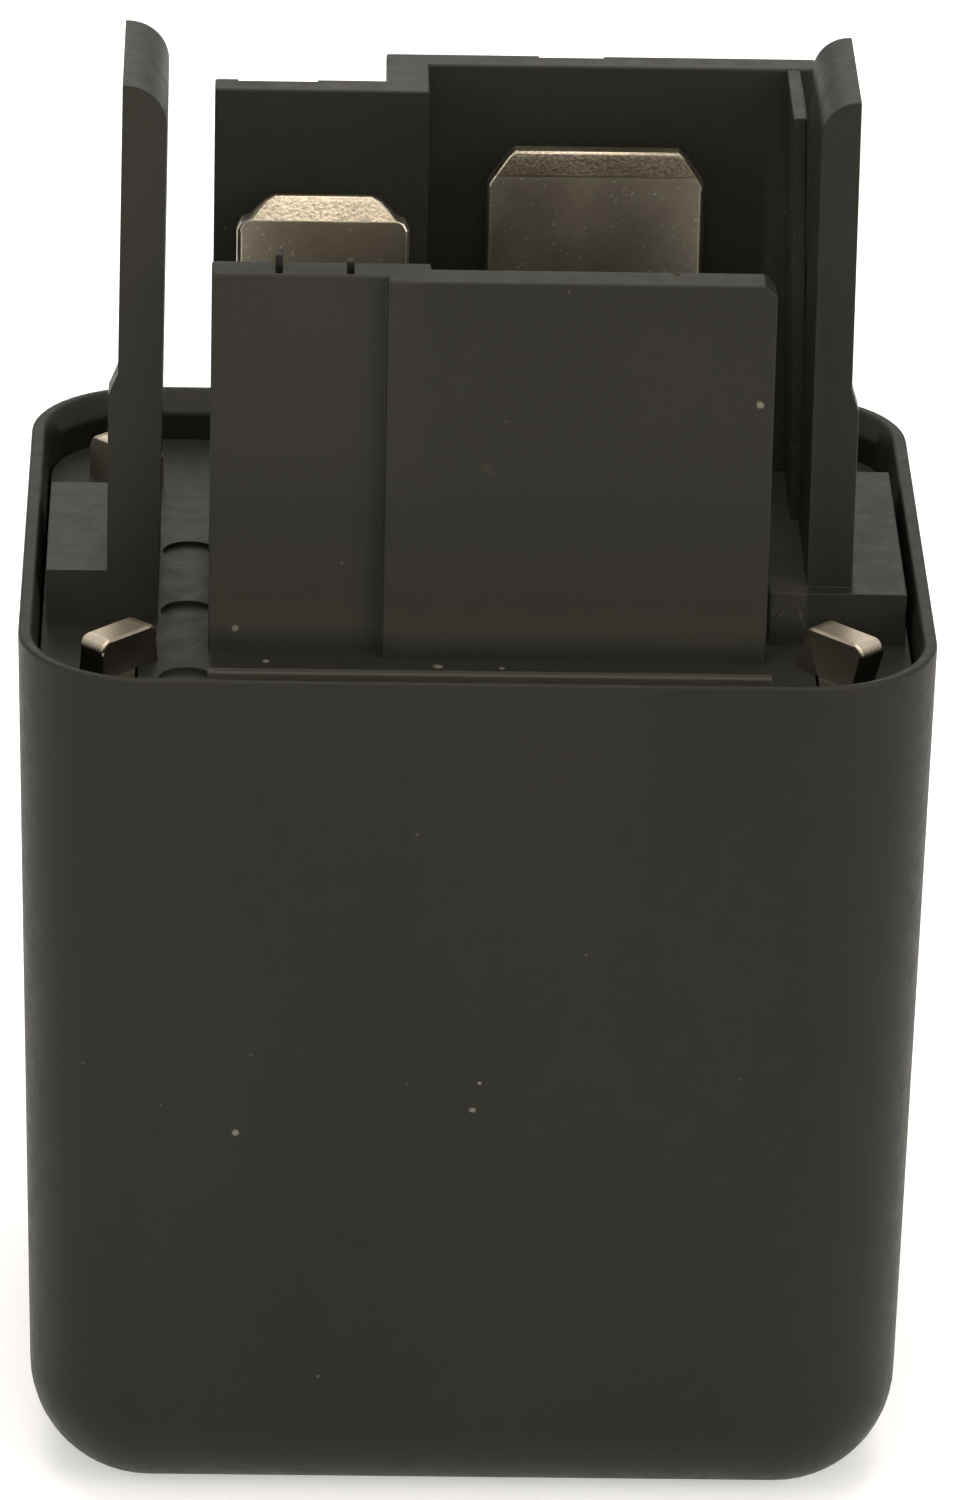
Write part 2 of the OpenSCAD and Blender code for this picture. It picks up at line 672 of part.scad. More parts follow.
module coil_winding() {
    inner_r = core_r + slot_clear + tube_t;
    h = bobbin_h - 2 * flange_t;
    turns = floor(h / turn_d);
    pitch = h / turns;
    color([0.72, 0.38, 0.2])
    translate([0, 0, bobbin_z + flange_t]) rotate_extrude($fn = round_fn)
        union() {
            translate([inner_r, 0]) square([winding_r - turn_d / 2 - inner_r, h]);
            for (i = [0 : turns - 1])
                translate([winding_r - turn_d / 2, (i + 0.5) * pitch])
                    circle(min(turn_d, pitch) / 2, $fn = 24);
        }
}

module winding_tape() {
    h = bobbin_h - 2 * flange_t;
    inner_r = winding_r + tape_gap;
    color([0.8, 0.7, 0.3])
    translate([0, 0, bobbin_z + flange_t]) rotate_extrude($fn = round_fn)
        translate([inner_r, 0]) square([tape_t, h]);
}

module coil_lead(y) {
    color([0.75, 0.45, 0.25])
    translate([lead_x, y, flange_top_z - flange_t - lead_tail])
        cylinder(h = lead_tail + flange_t + lead_rise, r = lead_r, $fn = round_fn);
}

// Terminals

// Coil terminal: blade, strap under the base, and a leg down to the coil lead
module coil_terminal(y, side, h) {
    leg_y = side * (coil_leg_y + strap_t / 2);
    strap_low = min(y - blade_t / 2, leg_y - strap_t / 2);
    strap_high = max(y + blade_t / 2, leg_y + strap_t / 2);
    color([0.72, 0.68, 0.58]) union() {
        blade(-coil_blade_x, y, coil_blade_w, seat_z - eps, floor_z + h, coil_tip_t);
        translate([-coil_blade_x - coil_blade_w / 2, strap_low, seat_z - strap_t])
            cube([coil_blade_w, strap_high - strap_low, strap_t]);
        translate([coil_leg_x - coil_leg_w / 2, leg_y - strap_t / 2, flange_top_z + leg_lift])
            cube([coil_leg_w, strap_t, seat_z - strap_t + eps - flange_top_z - leg_lift]);
    }
}

// Front load terminal: blade, cross plate, and a side plate welded to the yoke
module load_terminal_front() {
    x0 = load_blade_x - load_blade_w / 2;
    color([0.72, 0.68, 0.58]) union() {
        blade(load_blade_x, load_front_y, load_blade_w, seat_z - eps, floor_z + front_blade_h,
              load_tip_t);
        translate([x0, load_front_y - blade_t / 2, seat_z - shoulder_h])
            cube([plate_in_x - x0, blade_t, shoulder_h]);
        translate([plate_in_x - blade_t, -leg_in_y - weld_d, seat_z - shoulder_h])
            cube([blade_t, leg_in_y + weld_d + load_front_y, shoulder_h]);
    }
}

// Rear load terminal: blade, cross plate, leg, and the plate that carries the fixed contact
module load_terminal_rear() {
    x0 = load_blade_x - load_blade_w / 2;
    plate_z = contact_plate_z - blade_t;
    color([0.72, 0.68, 0.58])
    difference() {
        union() {
            blade(load_blade_x, load_rear_y, load_blade_w, seat_z - eps, floor_z + load_rear_h,
                  load_tip_t);
            xz_plate(load_rear_y, blade_t)
                polygon([[x0, seat_z - shoulder_h], [load_leg_x, seat_z - shoulder_h],
                         [load_leg_x, plate_z], [load_leg_x + load_leg_w, plate_z],
                         [load_leg_x + load_leg_w, seat_z], [x0, seat_z]]);
            translate([load_leg_x, -contact_plate_d, plate_z])
                cube([load_leg_w, contact_plate_d + load_rear_y, blade_t]);
        }
        translate([contact_x, 0, plate_z - eps])
            cylinder(h = blade_t + 2 * eps, r = shank_r + rivet_clear, $fn = round_fn);
    }
}

module fixed_contact() {
    color([0.82, 0.81, 0.78])
    translate([contact_x, 0, contact_plate_z]) contact_button(contact_r, blade_t, 1);
}

// Moving group, drawn closed and turned open by at_rest()

module armature() {
    half = arm_w / 2;
    color([0.64, 0.62, 0.58])
    at_rest() translate([0, 0, arm_z])
        difference() {
            linear_extrude(arm_t)
                union() {
                    translate([hinge_x - tail_len, -half])
                        square([arm_reach - half - hinge_x + tail_len, arm_w]);
                    translate([arm_reach - half, 0]) circle(half, $fn = round_fn);
                }
            for (y = [-arm_rivet_y, arm_rivet_y])
                translate([arm_rivet_x, y, -eps])
                    cylinder(h = arm_t + 2 * eps, r = rivet_r + rivet_clear, $fn = round_fn);
        }
}

module contact_spring() {
    root_half = arm_rivet_y + rivet_head_r + 0.5;
    end_half = contact_r + 0.3;
    root_x = arm_rivet_x - rivet_head_r - 0.5;
    color([0.76, 0.58, 0.32])
    at_rest() translate([0, 0, spring_z])
        difference() {
            linear_extrude(spring_t)
                union() {
                    polygon([[root_x, -root_half], [arm_reach - arm_w / 2, -root_half],
                             [contact_x, -end_half], [contact_x, end_half],
                             [arm_reach - arm_w / 2, root_half], [root_x, root_half]]);
                    translate([contact_x, 0]) circle(end_half, $fn = round_fn);
                }
            for (y = [-arm_rivet_y, arm_rivet_y])
                translate([arm_rivet_x, y, -eps])
                    cylinder(h = spring_t + 2 * eps, r = rivet_r + rivet_clear, $fn = round_fn);
            translate([contact_x, 0, -eps])
                cylinder(h = spring_t + 2 * eps, r = shank_r + rivet_clear, $fn = round_fn);
        }
}

module contact_spring_rivets() {
    color([0.7, 0.69, 0.66])
    at_rest()
        for (y = [-arm_rivet_y, arm_rivet_y])
            translate([arm_rivet_x, y, arm_z]) rivet(arm_t + spring_t);
}

module moving_contact() {
    color([0.82, 0.81, 0.78])
    at_rest() translate([contact_x, 0, spring_z]) contact_button(contact_r, spring_t, -1);
}

// Hinge spring: a leaf riveted to the yoke that bends round the armature's tail and presses on it
module hinge_spring() {
    face = hinge_x;
    out = hinge_x - tail_len - leaf_out + leaf_t;
    rise_z = knife_z - 2.4;
    bend_z = knife_z - 1.4;
    top_z = spring_z + leaf_press_gap + 0.55;
    press_z = spring_z + leaf_press_gap;
    color([0.78, 0.6, 0.34])
    difference() {
        xz_plate(0, leaf_w)
            polygon([[face, leaf_end_z], [face, rise_z], [out, bend_z],
                     [out, top_z - leaf_t], [face - 0.3, press_z],
                     [face - 0.1, press_z + leaf_t], [out, top_z + leaf_t / 4],
                     [out - leaf_t, top_z], [out - leaf_t, bend_z - leaf_t / 2],
                     [face - leaf_t, rise_z - leaf_t / 4], [face - leaf_t, leaf_end_z]]);
        for (y = [-leaf_rivet_y, leaf_rivet_y])
            translate([hinge_x - leaf_t - eps, y, leaf_rivet_z]) rotate([0, 90, 0])
                cylinder(h = leaf_t + 2 * eps, r = rivet_r + rivet_clear, $fn = round_fn);
    }
}

module hinge_spring_rivets() {
    color([0.7, 0.69, 0.66])
    for (y = [-leaf_rivet_y, leaf_rivet_y])
        translate([hinge_x - leaf_t, y, leaf_rivet_z]) rotate([0, 90, 0]) rivet(leaf_t + yoke_t);
}

cap();
base();
yoke();
core();
bobbin();
coil_winding();
winding_tape();
coil_lead(-lead_y);  // coil_lead_front
coil_lead(lead_y);  // coil_lead_rear
coil_terminal(coil_front_y, -1, front_blade_h);  // coil_terminal_front
coil_terminal(coil_rear_y, 1, coil_rear_h);  // coil_terminal_rear
load_terminal_front();
load_terminal_rear();
fixed_contact();
armature();
hinge_spring();
hinge_spring_rivets();
contact_spring();
contact_spring_rivets();
moving_contact();
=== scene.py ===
import json
import logging
import math
from dataclasses import dataclass, field
from enum import Enum
from typing import Callable, Dict, List, Optional, Sequence, Tuple

import bmesh
import bpy
from mathutils import Matrix, Vector

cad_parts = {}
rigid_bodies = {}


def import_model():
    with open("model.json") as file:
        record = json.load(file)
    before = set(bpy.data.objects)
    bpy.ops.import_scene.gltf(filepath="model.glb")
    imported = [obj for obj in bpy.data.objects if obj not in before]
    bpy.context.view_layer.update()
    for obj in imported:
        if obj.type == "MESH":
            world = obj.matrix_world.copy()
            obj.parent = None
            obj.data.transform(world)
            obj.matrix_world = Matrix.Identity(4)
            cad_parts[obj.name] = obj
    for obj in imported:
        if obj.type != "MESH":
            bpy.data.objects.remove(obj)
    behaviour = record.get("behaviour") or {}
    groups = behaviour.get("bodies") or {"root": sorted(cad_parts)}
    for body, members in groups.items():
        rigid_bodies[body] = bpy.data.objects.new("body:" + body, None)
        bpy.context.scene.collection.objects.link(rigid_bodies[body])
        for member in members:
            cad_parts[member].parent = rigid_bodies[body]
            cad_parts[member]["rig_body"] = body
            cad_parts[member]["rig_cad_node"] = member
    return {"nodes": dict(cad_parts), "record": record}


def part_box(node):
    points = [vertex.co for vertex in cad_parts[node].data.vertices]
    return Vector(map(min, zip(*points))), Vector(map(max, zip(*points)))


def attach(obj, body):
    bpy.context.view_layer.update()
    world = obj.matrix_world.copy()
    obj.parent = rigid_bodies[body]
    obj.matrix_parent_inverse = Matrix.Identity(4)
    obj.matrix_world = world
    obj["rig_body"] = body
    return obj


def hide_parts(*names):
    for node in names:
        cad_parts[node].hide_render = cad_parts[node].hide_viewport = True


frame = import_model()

MM = 0.001
TOUCH = 0.01  # millimetres by which a corner may miss the place that it is picked by
FAR = 1000.0  # millimetres, beyond every piece
CLEAR = 1.0  # millimetres by which a cutting tool passes a face
LOG = logging.getLogger("relay")
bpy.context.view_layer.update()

Piece = bpy.types.Object
Socket = bpy.types.NodeSocket
Colour = Tuple[float, float, float]
Triple = Tuple[float, float, float]
Span = Tuple[float, float]  # both ends
Pair = Tuple[float, float]  # two sizes, shares or places
Points = Sequence[Vector]
Test = Callable[[Points], bool]


class Pick(Enum):
    """What an edit-mode selection is made of."""

    VERTICES = "VERT"
    EDGES = "EDGE"
    FACES = "FACE"


class Row(Enum):
    """The two rows of blades, by the side of the relay they stand on."""

    FRONT = -1
    REAR = 1


class Rays(Enum):
    """Kinds of ray that see the white backdrop."""

    CAMERA = "Is Camera Ray"
    GLOSSY = "Is Glossy Ray"
    TRANSMISSION = "Is Transmission Ray"


def mm(x: float, y: float, z: float) -> Vector:
    """Gives a point in metres from its millimetres.

    Args:
        x: Distance along X in millimetres.
        y: Distance along Y in millimetres.
        z: Distance along Z in millimetres.

    Returns:
        The same point in metres.
    """
    return Vector((x, y, z)) * MM


def within(x: Span = (-FAR, FAR), y: Span = (-FAR, FAR), z: Span = (-FAR, FAR)) -> Test:
    """Builds a test for mesh elements that lie inside a box or on its faces.

    Args:
        x: Both ends along X in millimetres, in either order.
        y: Both ends along Y.
        z: Both ends along Z.

    Returns:
        The test, which gets the corners of one element.
    """
    return lambda points: all(min(ends) - TOUCH < value / MM < max(ends) + TOUCH
                              for point in points for value, ends in zip(point, (x, y, z)))


def span_z(points: Points) -> float:
    """Gives how far a mesh element reaches along Z.

    Args:
        points: Its corners.

    Returns:
        The distance in millimetres.
    """
    heights = [point.z for point in points]
    return (max(heights) - min(heights)) / MM


class Bench:
    """The modelling moves that all sub-assemblies share, made with Blender's operators."""

    MERGE = 0.000002  # metres between vertices that are one

    @staticmethod
    def only(obj: Piece) -> None:
        """Leaves edit mode and makes obj the one selected, active object.

        Args:
            obj: The object to work on next.
        """
        Bench.clear()
        obj.select_set(True)
        bpy.context.view_layer.objects.active = obj

    @staticmethod
    def clear() -> None:
        """Leaves edit mode and deselects everything."""
        active = bpy.context.view_layer.objects.active
        if active is not None and active.mode != "OBJECT":
            bpy.ops.object.mode_set(mode="OBJECT")
        bpy.ops.object.select_all(action="DESELECT")

    @staticmethod
    def block(name: str, first: Triple, last: Triple) -> Piece:
        """Adds a cube stretched between two opposite corners.

        Args:
            name: Name of the new object.
            first: One corner in millimetres.
            last: The opposite corner in millimetres.

        Returns:
            The new object, with its place applied to its mesh.
        """
        Bench.clear()
        start, end = mm(*first), mm(*last)
        size = [abs(a - b) for a, b in zip(start, end)]
        bpy.ops.mesh.primitive_cube_add(size=1.0, location=(start + end) / 2, scale=size)
        return Bench.placed(name)

    @staticmethod
    def placed(name: str) -> Piece:
        """Names the object that was just added and applies its place to its mesh.

        Args:
            name: The name.

        Returns:
            The object.
        """
        obj = bpy.context.active_object
        obj.name = name
        bpy.ops.object.transform_apply(location=True, rotation=True, scale=True)
        return obj

    @staticmethod
    def rod(name: str, foot: Triple, radius: float, height: float, sides: int) -> Piece:
        """Adds an upright cylinder.

        Args:
            name: Name of the new object.
            foot: Centre of its lower end in millimetres.
            radius: Radius in millimetres.
            height: Height in millimetres.
            sides: Number of sides.

        Returns:
            The new object, with its place applied to its mesh.
        """
        Bench.clear()
        centre = mm(foot[0], foot[1], foot[2] + height / 2)
        bpy.ops.mesh.primitive_cylinder_add(
            vertices=sides, radius=radius * MM, depth=height * MM, location=centre)
        return Bench.placed(name)

    @staticmethod
    def select(obj: Piece, kind: Pick, test: Test) -> None:
        """Selects vertices, edges or faces in edit mode by where their corners lie.

        Args:
            obj: The object to edit.
            kind: What to select.
            test: Gets the corners of one element and tells whether it is selected.
        """
        if obj.mode != "EDIT":
            Bench.only(obj)
            bpy.ops.object.mode_set(mode="EDIT")
        bpy.ops.mesh.select_mode(type=kind.value)
        bpy.ops.mesh.select_all(action="DESELECT")
        mesh = bmesh.from_edit_mesh(obj.data)
        parts = {Pick.VERTICES: mesh.verts, Pick.EDGES: mesh.edges, Pick.FACES: mesh.faces}
        for part in parts[kind]:
            corners = [part] if kind is Pick.VERTICES else part.verts
            if test([vertex.co for vertex in corners]):
                part.select_set(True)
        mesh.select_flush_mode()
        bmesh.update_edit_mesh(obj.data)

    @staticmethod
    def split(obj: Piece, point: Vector, normal: Triple) -> None:
        """Cuts new edges where a plane meets the mesh.

        Args:
            obj: The object to cut.
            point: A point on the plane, in metres.
            normal: The plane's normal.
        """
        Bench.select(obj, Pick.FACES, lambda points: True)
        bpy.ops.mesh.bisect(plane_co=point, plane_no=normal, threshold=Bench.MERGE)

    @staticmethod
    def pull(obj: Piece, test: Test, move: Vector) -> None:
        """Extrudes the faces that pass a test.

        Args:
            obj: The object to edit.
            test: Tells from a face's corners whether it is extruded.
            move: How far and which way, in metres.
        """
        Bench.select(obj, Pick.FACES, test)
        bpy.ops.mesh.extrude_region_move(TRANSFORM_OT_translate={"value": move})

    @staticmethod
    def shift(obj: Piece, test: Test, move: Vector) -> None:
        """Moves the vertices that pass a test.

        Args:
            obj: The object to edit.
            test: Tells from a vertex's place whether it moves.
            move: How far and which way, in metres.
        """
        Bench.select(obj, Pick.VERTICES, test)
        bpy.ops.transform.translate(value=move)

    @staticmethod
    def round_edges(obj: Piece, test: Test, radius: float,
                    steps: int) -> None:
        """Bevels the edges that pass a test.

        Args:
            obj: The object to edit.
            test: Tells from an edge's two ends whether it is bevelled.
            radius: Radius of the bevel in millimetres.
            steps: Number of faces across the bevel.
        """
        Bench.select(obj, Pick.EDGES, test)
        bpy.ops.mesh.bevel(offset=radius * MM, segments=steps, affect="EDGES", profile=0.5)

    @staticmethod
    def modify(obj: Piece, kind: str, **settings: object) -> None:
        """Adds a modifier and applies it at once.

        Args:
            obj: The object that gets it.
            kind: Blender's name for the modifier.
            **settings: The modifier's own settings.
        """
        Bench.only(obj)
        bpy.ops.object.modifier_add(type=kind)
        modifier = obj.modifiers[-1]
        for key, value in settings.items():
            setattr(modifier, key, value)
        bpy.ops.object.modifier_apply(modifier=modifier.name)

    @staticmethod
    def cut(obj: Piece, tool: Piece) -> None:
        """Takes a tool's shape out of obj and removes the tool.

        Args:
            obj: The object that is cut.
            tool: The object that cuts it.
        """
        Bench.modify(obj, "BOOLEAN", operation="DIFFERENCE", solver="EXACT", object=tool)
        bpy.data.objects.remove(tool, do_unlink=True)

    @staticmethod
    def carve(obj: Piece, first: Triple, last: Triple) -> None:
        """Takes a box out of obj.

        Args:
            obj: The object that is cut.
            first: One corner of the box in millimetres.
            last: The opposite corner in millimetres.
        """
        Bench.cut(obj, Bench.block("tool", first, last))

    @staticmethod
    def merge(obj: Piece, angle: float) -> None:
        """Merges vertices that meet and dissolves the seams between flush faces.

        Args:
            obj: The object to clean.
            angle: Faces within this many degrees of each other are flush.
        """
        Bench.select(obj, Pick.FACES, lambda points: True)
        bpy.ops.mesh.remove_doubles(threshold=Bench.MERGE)
        bpy.ops.mesh.dissolve_limited(angle_limit=math.radians(angle))

    @staticmethod
    def fuse(obj: Piece, others: Sequence[Piece]) -> None:
        """Unites solids with obj, removes them and cleans the seams.

        Args:
            obj: The object that takes the others in.
            others: The solids to unite with it.
        """
        for other in others:
            Bench.modify(obj, "BOOLEAN", operation="UNION", solver="EXACT", object=other)
            bpy.data.objects.remove(other, do_unlink=True)
        Bench.merge(obj, 0.3)

    @staticmethod
    def join(name: str, objects: Sequence[Piece]) -> Piece:
        """Joins objects into the first of them.

        Args:
            name: Name of the joined object.
            objects: The objects to join.

        Returns:
            The joined object.
        """
        Bench.only(objects[0])
        for obj in objects:
            obj.select_set(True)
        bpy.ops.object.join()
        joined = bpy.context.active_object
        joined.name = name
        joined.data.name = name
        return joined

    @staticmethod
    def ease(obj: Piece, width: float, steps: int = 3, angle: float = 35.0) -> None:
        """Rounds all sharp edges a little.

        Args:
            obj: The object to finish.
            width: Width of the rounding in millimetres.
            steps: Number of faces across the rounding.
            angle: Edges sharper than this many degrees are rounded.
        """
        Bench.modify(obj, "BEVEL", width=width * MM, segments=steps, limit_method="ANGLE",
                     angle_limit=math.radians(angle), use_clamp_overlap=True)

    @staticmethod
    def shade(obj: Piece, angle: float = 40.0) -> None:
        """Shades the surface smooth, with flat faces kept flat.

        Args:
            obj: The object to shade.
            angle: Edges sharper than this many degrees stay sharp.
        """
        Bench.only(obj)
        bpy.ops.object.shade_smooth_by_angle(angle=math.radians(angle))
        Bench.modify(obj, "WEIGHTED_NORMAL", keep_sharp=True)

    @staticmethod
    def soften(obj: Piece, width: float, steps: int = 3, angle: float = 35.0) -> None:
        """Rounds all sharp edges a little and shades the surface smooth.

        Args:
            obj: The object to finish.
            width: Width of the rounding in millimetres.
            steps: Number of faces across the rounding.
            angle: Edges sharper than this many degrees are rounded.
        """
        Bench.ease(obj, width, steps, angle)
        Bench.shade(obj)

    @staticmethod
    def bar(name: str, first: Triple, last: Triple, width: float, steps: int = 3) -> Piece:
        """Adds a block and rounds its edges.

        Args:
            name: Name of the new object.
            first: One corner in millimetres.
            last: The opposite corner in millimetres.
            width: Width of the rounding in millimetres.
            steps: Number of faces across the rounding.

        Returns:
            The new object.
        """
        obj = Bench.block(name, first, last)
        Bench.soften(obj, width, steps)
        return obj


class Tree:
    """A short way to write a shader's nodes and links."""

    def __init__(self, name: str) -> None:
        """Starts a material with one Principled shader.

        Args:
            name: Name of the material.
        """
        self.material = bpy.data.materials.new(name)
        self.material.use_nodes = True
        self.nodes = self.material.node_tree.nodes
        self.links = self.material.node_tree.links
        self.shader = self.nodes["Principled BSDF"]
        self.place = self.add("ShaderNodeTexCoord").outputs["Object"]

    def add(self, kind: str, **settings: object) -> bpy.types.Node:
        """Adds a node and sets its own properties.

        Args:
            kind: Blender's node type.
            **settings: Properties of the node.

        Returns:
            The new node.
        """
        node = self.nodes.new(kind)
        for key, value in settings.items():
            setattr(node, key, value)
        return node

    def noise(self, size: float, detail: float = 3.0, rough: float = 0.5,
              stretch: Triple = (1.0, 1.0, 1.0)) -> Socket:
        """Adds a noise pattern.

        Args:
            size: Size of its features in millimetres.
            detail: Number of finer layers.
            rough: Strength of the finer layers.
            stretch: Scale along X, Y and Z.

        Returns:
            The pattern's value.
        """
        mapping = self.add("ShaderNodeMapping")
        self.feed(mapping, Vector=self.place, Scale=stretch)
        noise = self.add("ShaderNodeTexNoise")
        self.feed(noise, Vector=mapping.outputs["Vector"], Scale=1.0 / (size * MM),
                  Detail=detail, Roughness=rough)
        return noise.outputs["Fac"]

    def axes(self, vector: Socket) -> Tuple[Socket, ...]:
        """Splits a vector into its three axes.

        Args:
            vector: The vector.

        Returns:
            Its X, Y and Z.
        """
        split = self.add("ShaderNodeSeparateXYZ")
        self.feed(split, Vector=vector)
        return tuple(split.outputs)

    def along(self, value: Socket, ends: Span, low: float = 0.0, high: float = 1.0) -> Socket:
        """Maps a place along an axis to a mask.

        Args:
            value: Place along the axis.
            ends: Where the change starts and ends, in millimetres.
            low: Result before the change.
            high: Result past it.

        Returns:
            The mask.
        """
        return self.spread(value, low, high, ends[0] * MM, ends[1] * MM)

    def product(self, *values: Socket) -> Socket:
        """Multiplies masks.

        Args:
            *values: The masks.

        Returns:
            Their product.
        """
        total = values[0]
        for value in values[1:]:
            total = self.math("MULTIPLY", total, value)
        return total

    def spread(self, value: Socket, low: float, high: float, start: float = 0.3,
               end: float = 0.7) -> Socket:
        """Maps a pattern's value to a new range.

        Args:
            value: The pattern.
            low: Result at start.
            high: Result at end.
            start: Lowest value that counts.
            end: Highest value that counts.

        Returns:
            The mapped value.
        """
        ramp = self.add("ShaderNodeMapRange")
        self.feed(ramp, Value=value, From_Min=start, From_Max=end, To_Min=low, To_Max=high)
        return ramp.outputs["Result"]

    def mix(self, factor: Socket, first: object, second: object) -> Socket:
        """Mixes two colours, each given as a colour or as a socket.

        Args:
            factor: Share of the second colour.
            first: The colour at factor 0.
            second: The colour at factor 1.

        Returns:
            The mixed colour.
        """
        node = self.add("ShaderNodeMix", data_type="RGBA")
        self.links.new(factor, node.inputs["Factor"])
        for value, socket in ((first, node.inputs[6]), (second, node.inputs[7])):
            if isinstance(value, Socket):
                self.links.new(value, socket)
            else:
                socket.default_value = (*value, 1.0)
        return node.outputs[2]

    def math(self, operation: str, first: Socket, second: object) -> Socket:
        """Joins two values with one sum.

        Args:
            operation: Blender's name for the sum.
            first: The first value.
            second: The second value, as a number or as a socket.

        Returns:
            The result.
        """
        node = self.add("ShaderNodeMath", operation=operation)
        self.links.new(first, node.inputs[0])
        if isinstance(second, Socket):
            self.links.new(second, node.inputs[1])
        else:
            node.inputs[1].default_value = float(second)
        return node.outputs["Value"]

    def bump(self, height: Socket, depth: float, strength: float,
             under: Optional[Socket] = None) -> Socket:
        """Adds a bump to the surface.

        Args:
            height: The pattern that lifts the surface.
            depth: Height of the bump in millimetres.
            strength: Share of the bump that shows.
            under: Normal of a bump that lies under this one.

        Returns:
            The bumped normal.
        """
        node = self.add("ShaderNodeBump")
        self.feed(node, Height=height, Strength=strength, Distance=depth * MM)
        if under is not None:
            self.feed(node, Normal=under)
        return node.outputs["Normal"]

    def feed(self, node: bpy.types.Node, **values: object) -> None:
        """Sets or links a node's inputs, with _ for a space in their names.

        Args:
            node: The node.
            **values: A number, colour, vector or socket for each input.
        """
        for key, value in values.items():
            socket = node.inputs[key.replace("_", " ")]
            if isinstance(value, Socket):
                self.links.new(value, socket)
            elif isinstance(value, tuple):
                socket.default_value = (*value, 1.0)[:len(socket.default_value)]
            else:
                socket.default_value = value


@dataclass(frozen=True)
class Speck:
    """One grain of dust or one pale scuff on a surface."""

    place: Triple
    radius: float
    strength: float = 1.0


@dataclass(frozen=True)
class PaintedLightAndDustFilm:
    """Painted light low on the base's front wall, where it lifts the shade, and pale dust crumbs
    in the gap at the wall's right end, which also lift the shade there.

    Each span is where a mask starts and ends, in millimetres.
    """

    strength: float
    fade_z: Span = (31.5, 37.0)
    foot_z: Span = (32.1, 33.0)
    wall_y: Span = (-6.6, -6.2)
    wall_x: Span = (10.5, 10.6)
    gap_left_x: Span = (10.6, 10.8)
    gap_right_x: Span = (11.9, 12.1)
    gap_front_y: Span = (-7.9, -7.5)
    gap_top_z: Span = (44.0, 48.0)
    crumb: float = 0.18
    crumb_levels: Span = (0.64, 0.72)
    crumb_shares: Pair = (0.6, 2.4)

    def mask(self, tree: Tree) -> Socket:
        """Builds the film's mask.

        Args:
            tree: The material's nodes.

        Returns:
            The mask: painted light, highest low on the wall, and the crumbs in the gap.
        """
        x, y, z = tree.axes(tree.place)
        # the mask stays off the lowest part of the wall, so the shade at its foot is kept
        foot = tree.along(z, self.foot_z)
        # painted light: lighter colour low on the front wall, fading out upwards, in place of
        # light that the rim and plate shade off
        wall = tree.product(tree.along(z, self.fade_z, self.strength, 0.0),
                            tree.along(y, self.wall_y, 1.0, 0.0),
                            tree.along(x, self.wall_x, 1.0, 0.0), foot)
        faint, strong = (share * self.strength for share in self.crumb_shares)
        # dust crumbs in the gap, which also lift its shade as painted light
        crumbs = tree.spread(tree.noise(self.crumb, 2.0, 0.5), faint, strong, *self.crumb_levels)
        gap = tree.product(tree.along(x, self.gap_left_x),
                           tree.along(x, self.gap_right_x, 1.0, 0.0),
                           tree.along(y, self.gap_front_y),
                           tree.along(z, self.gap_top_z, 1.0, 0.0), crumbs, foot)
        return tree.math("MAXIMUM", wall, gap)


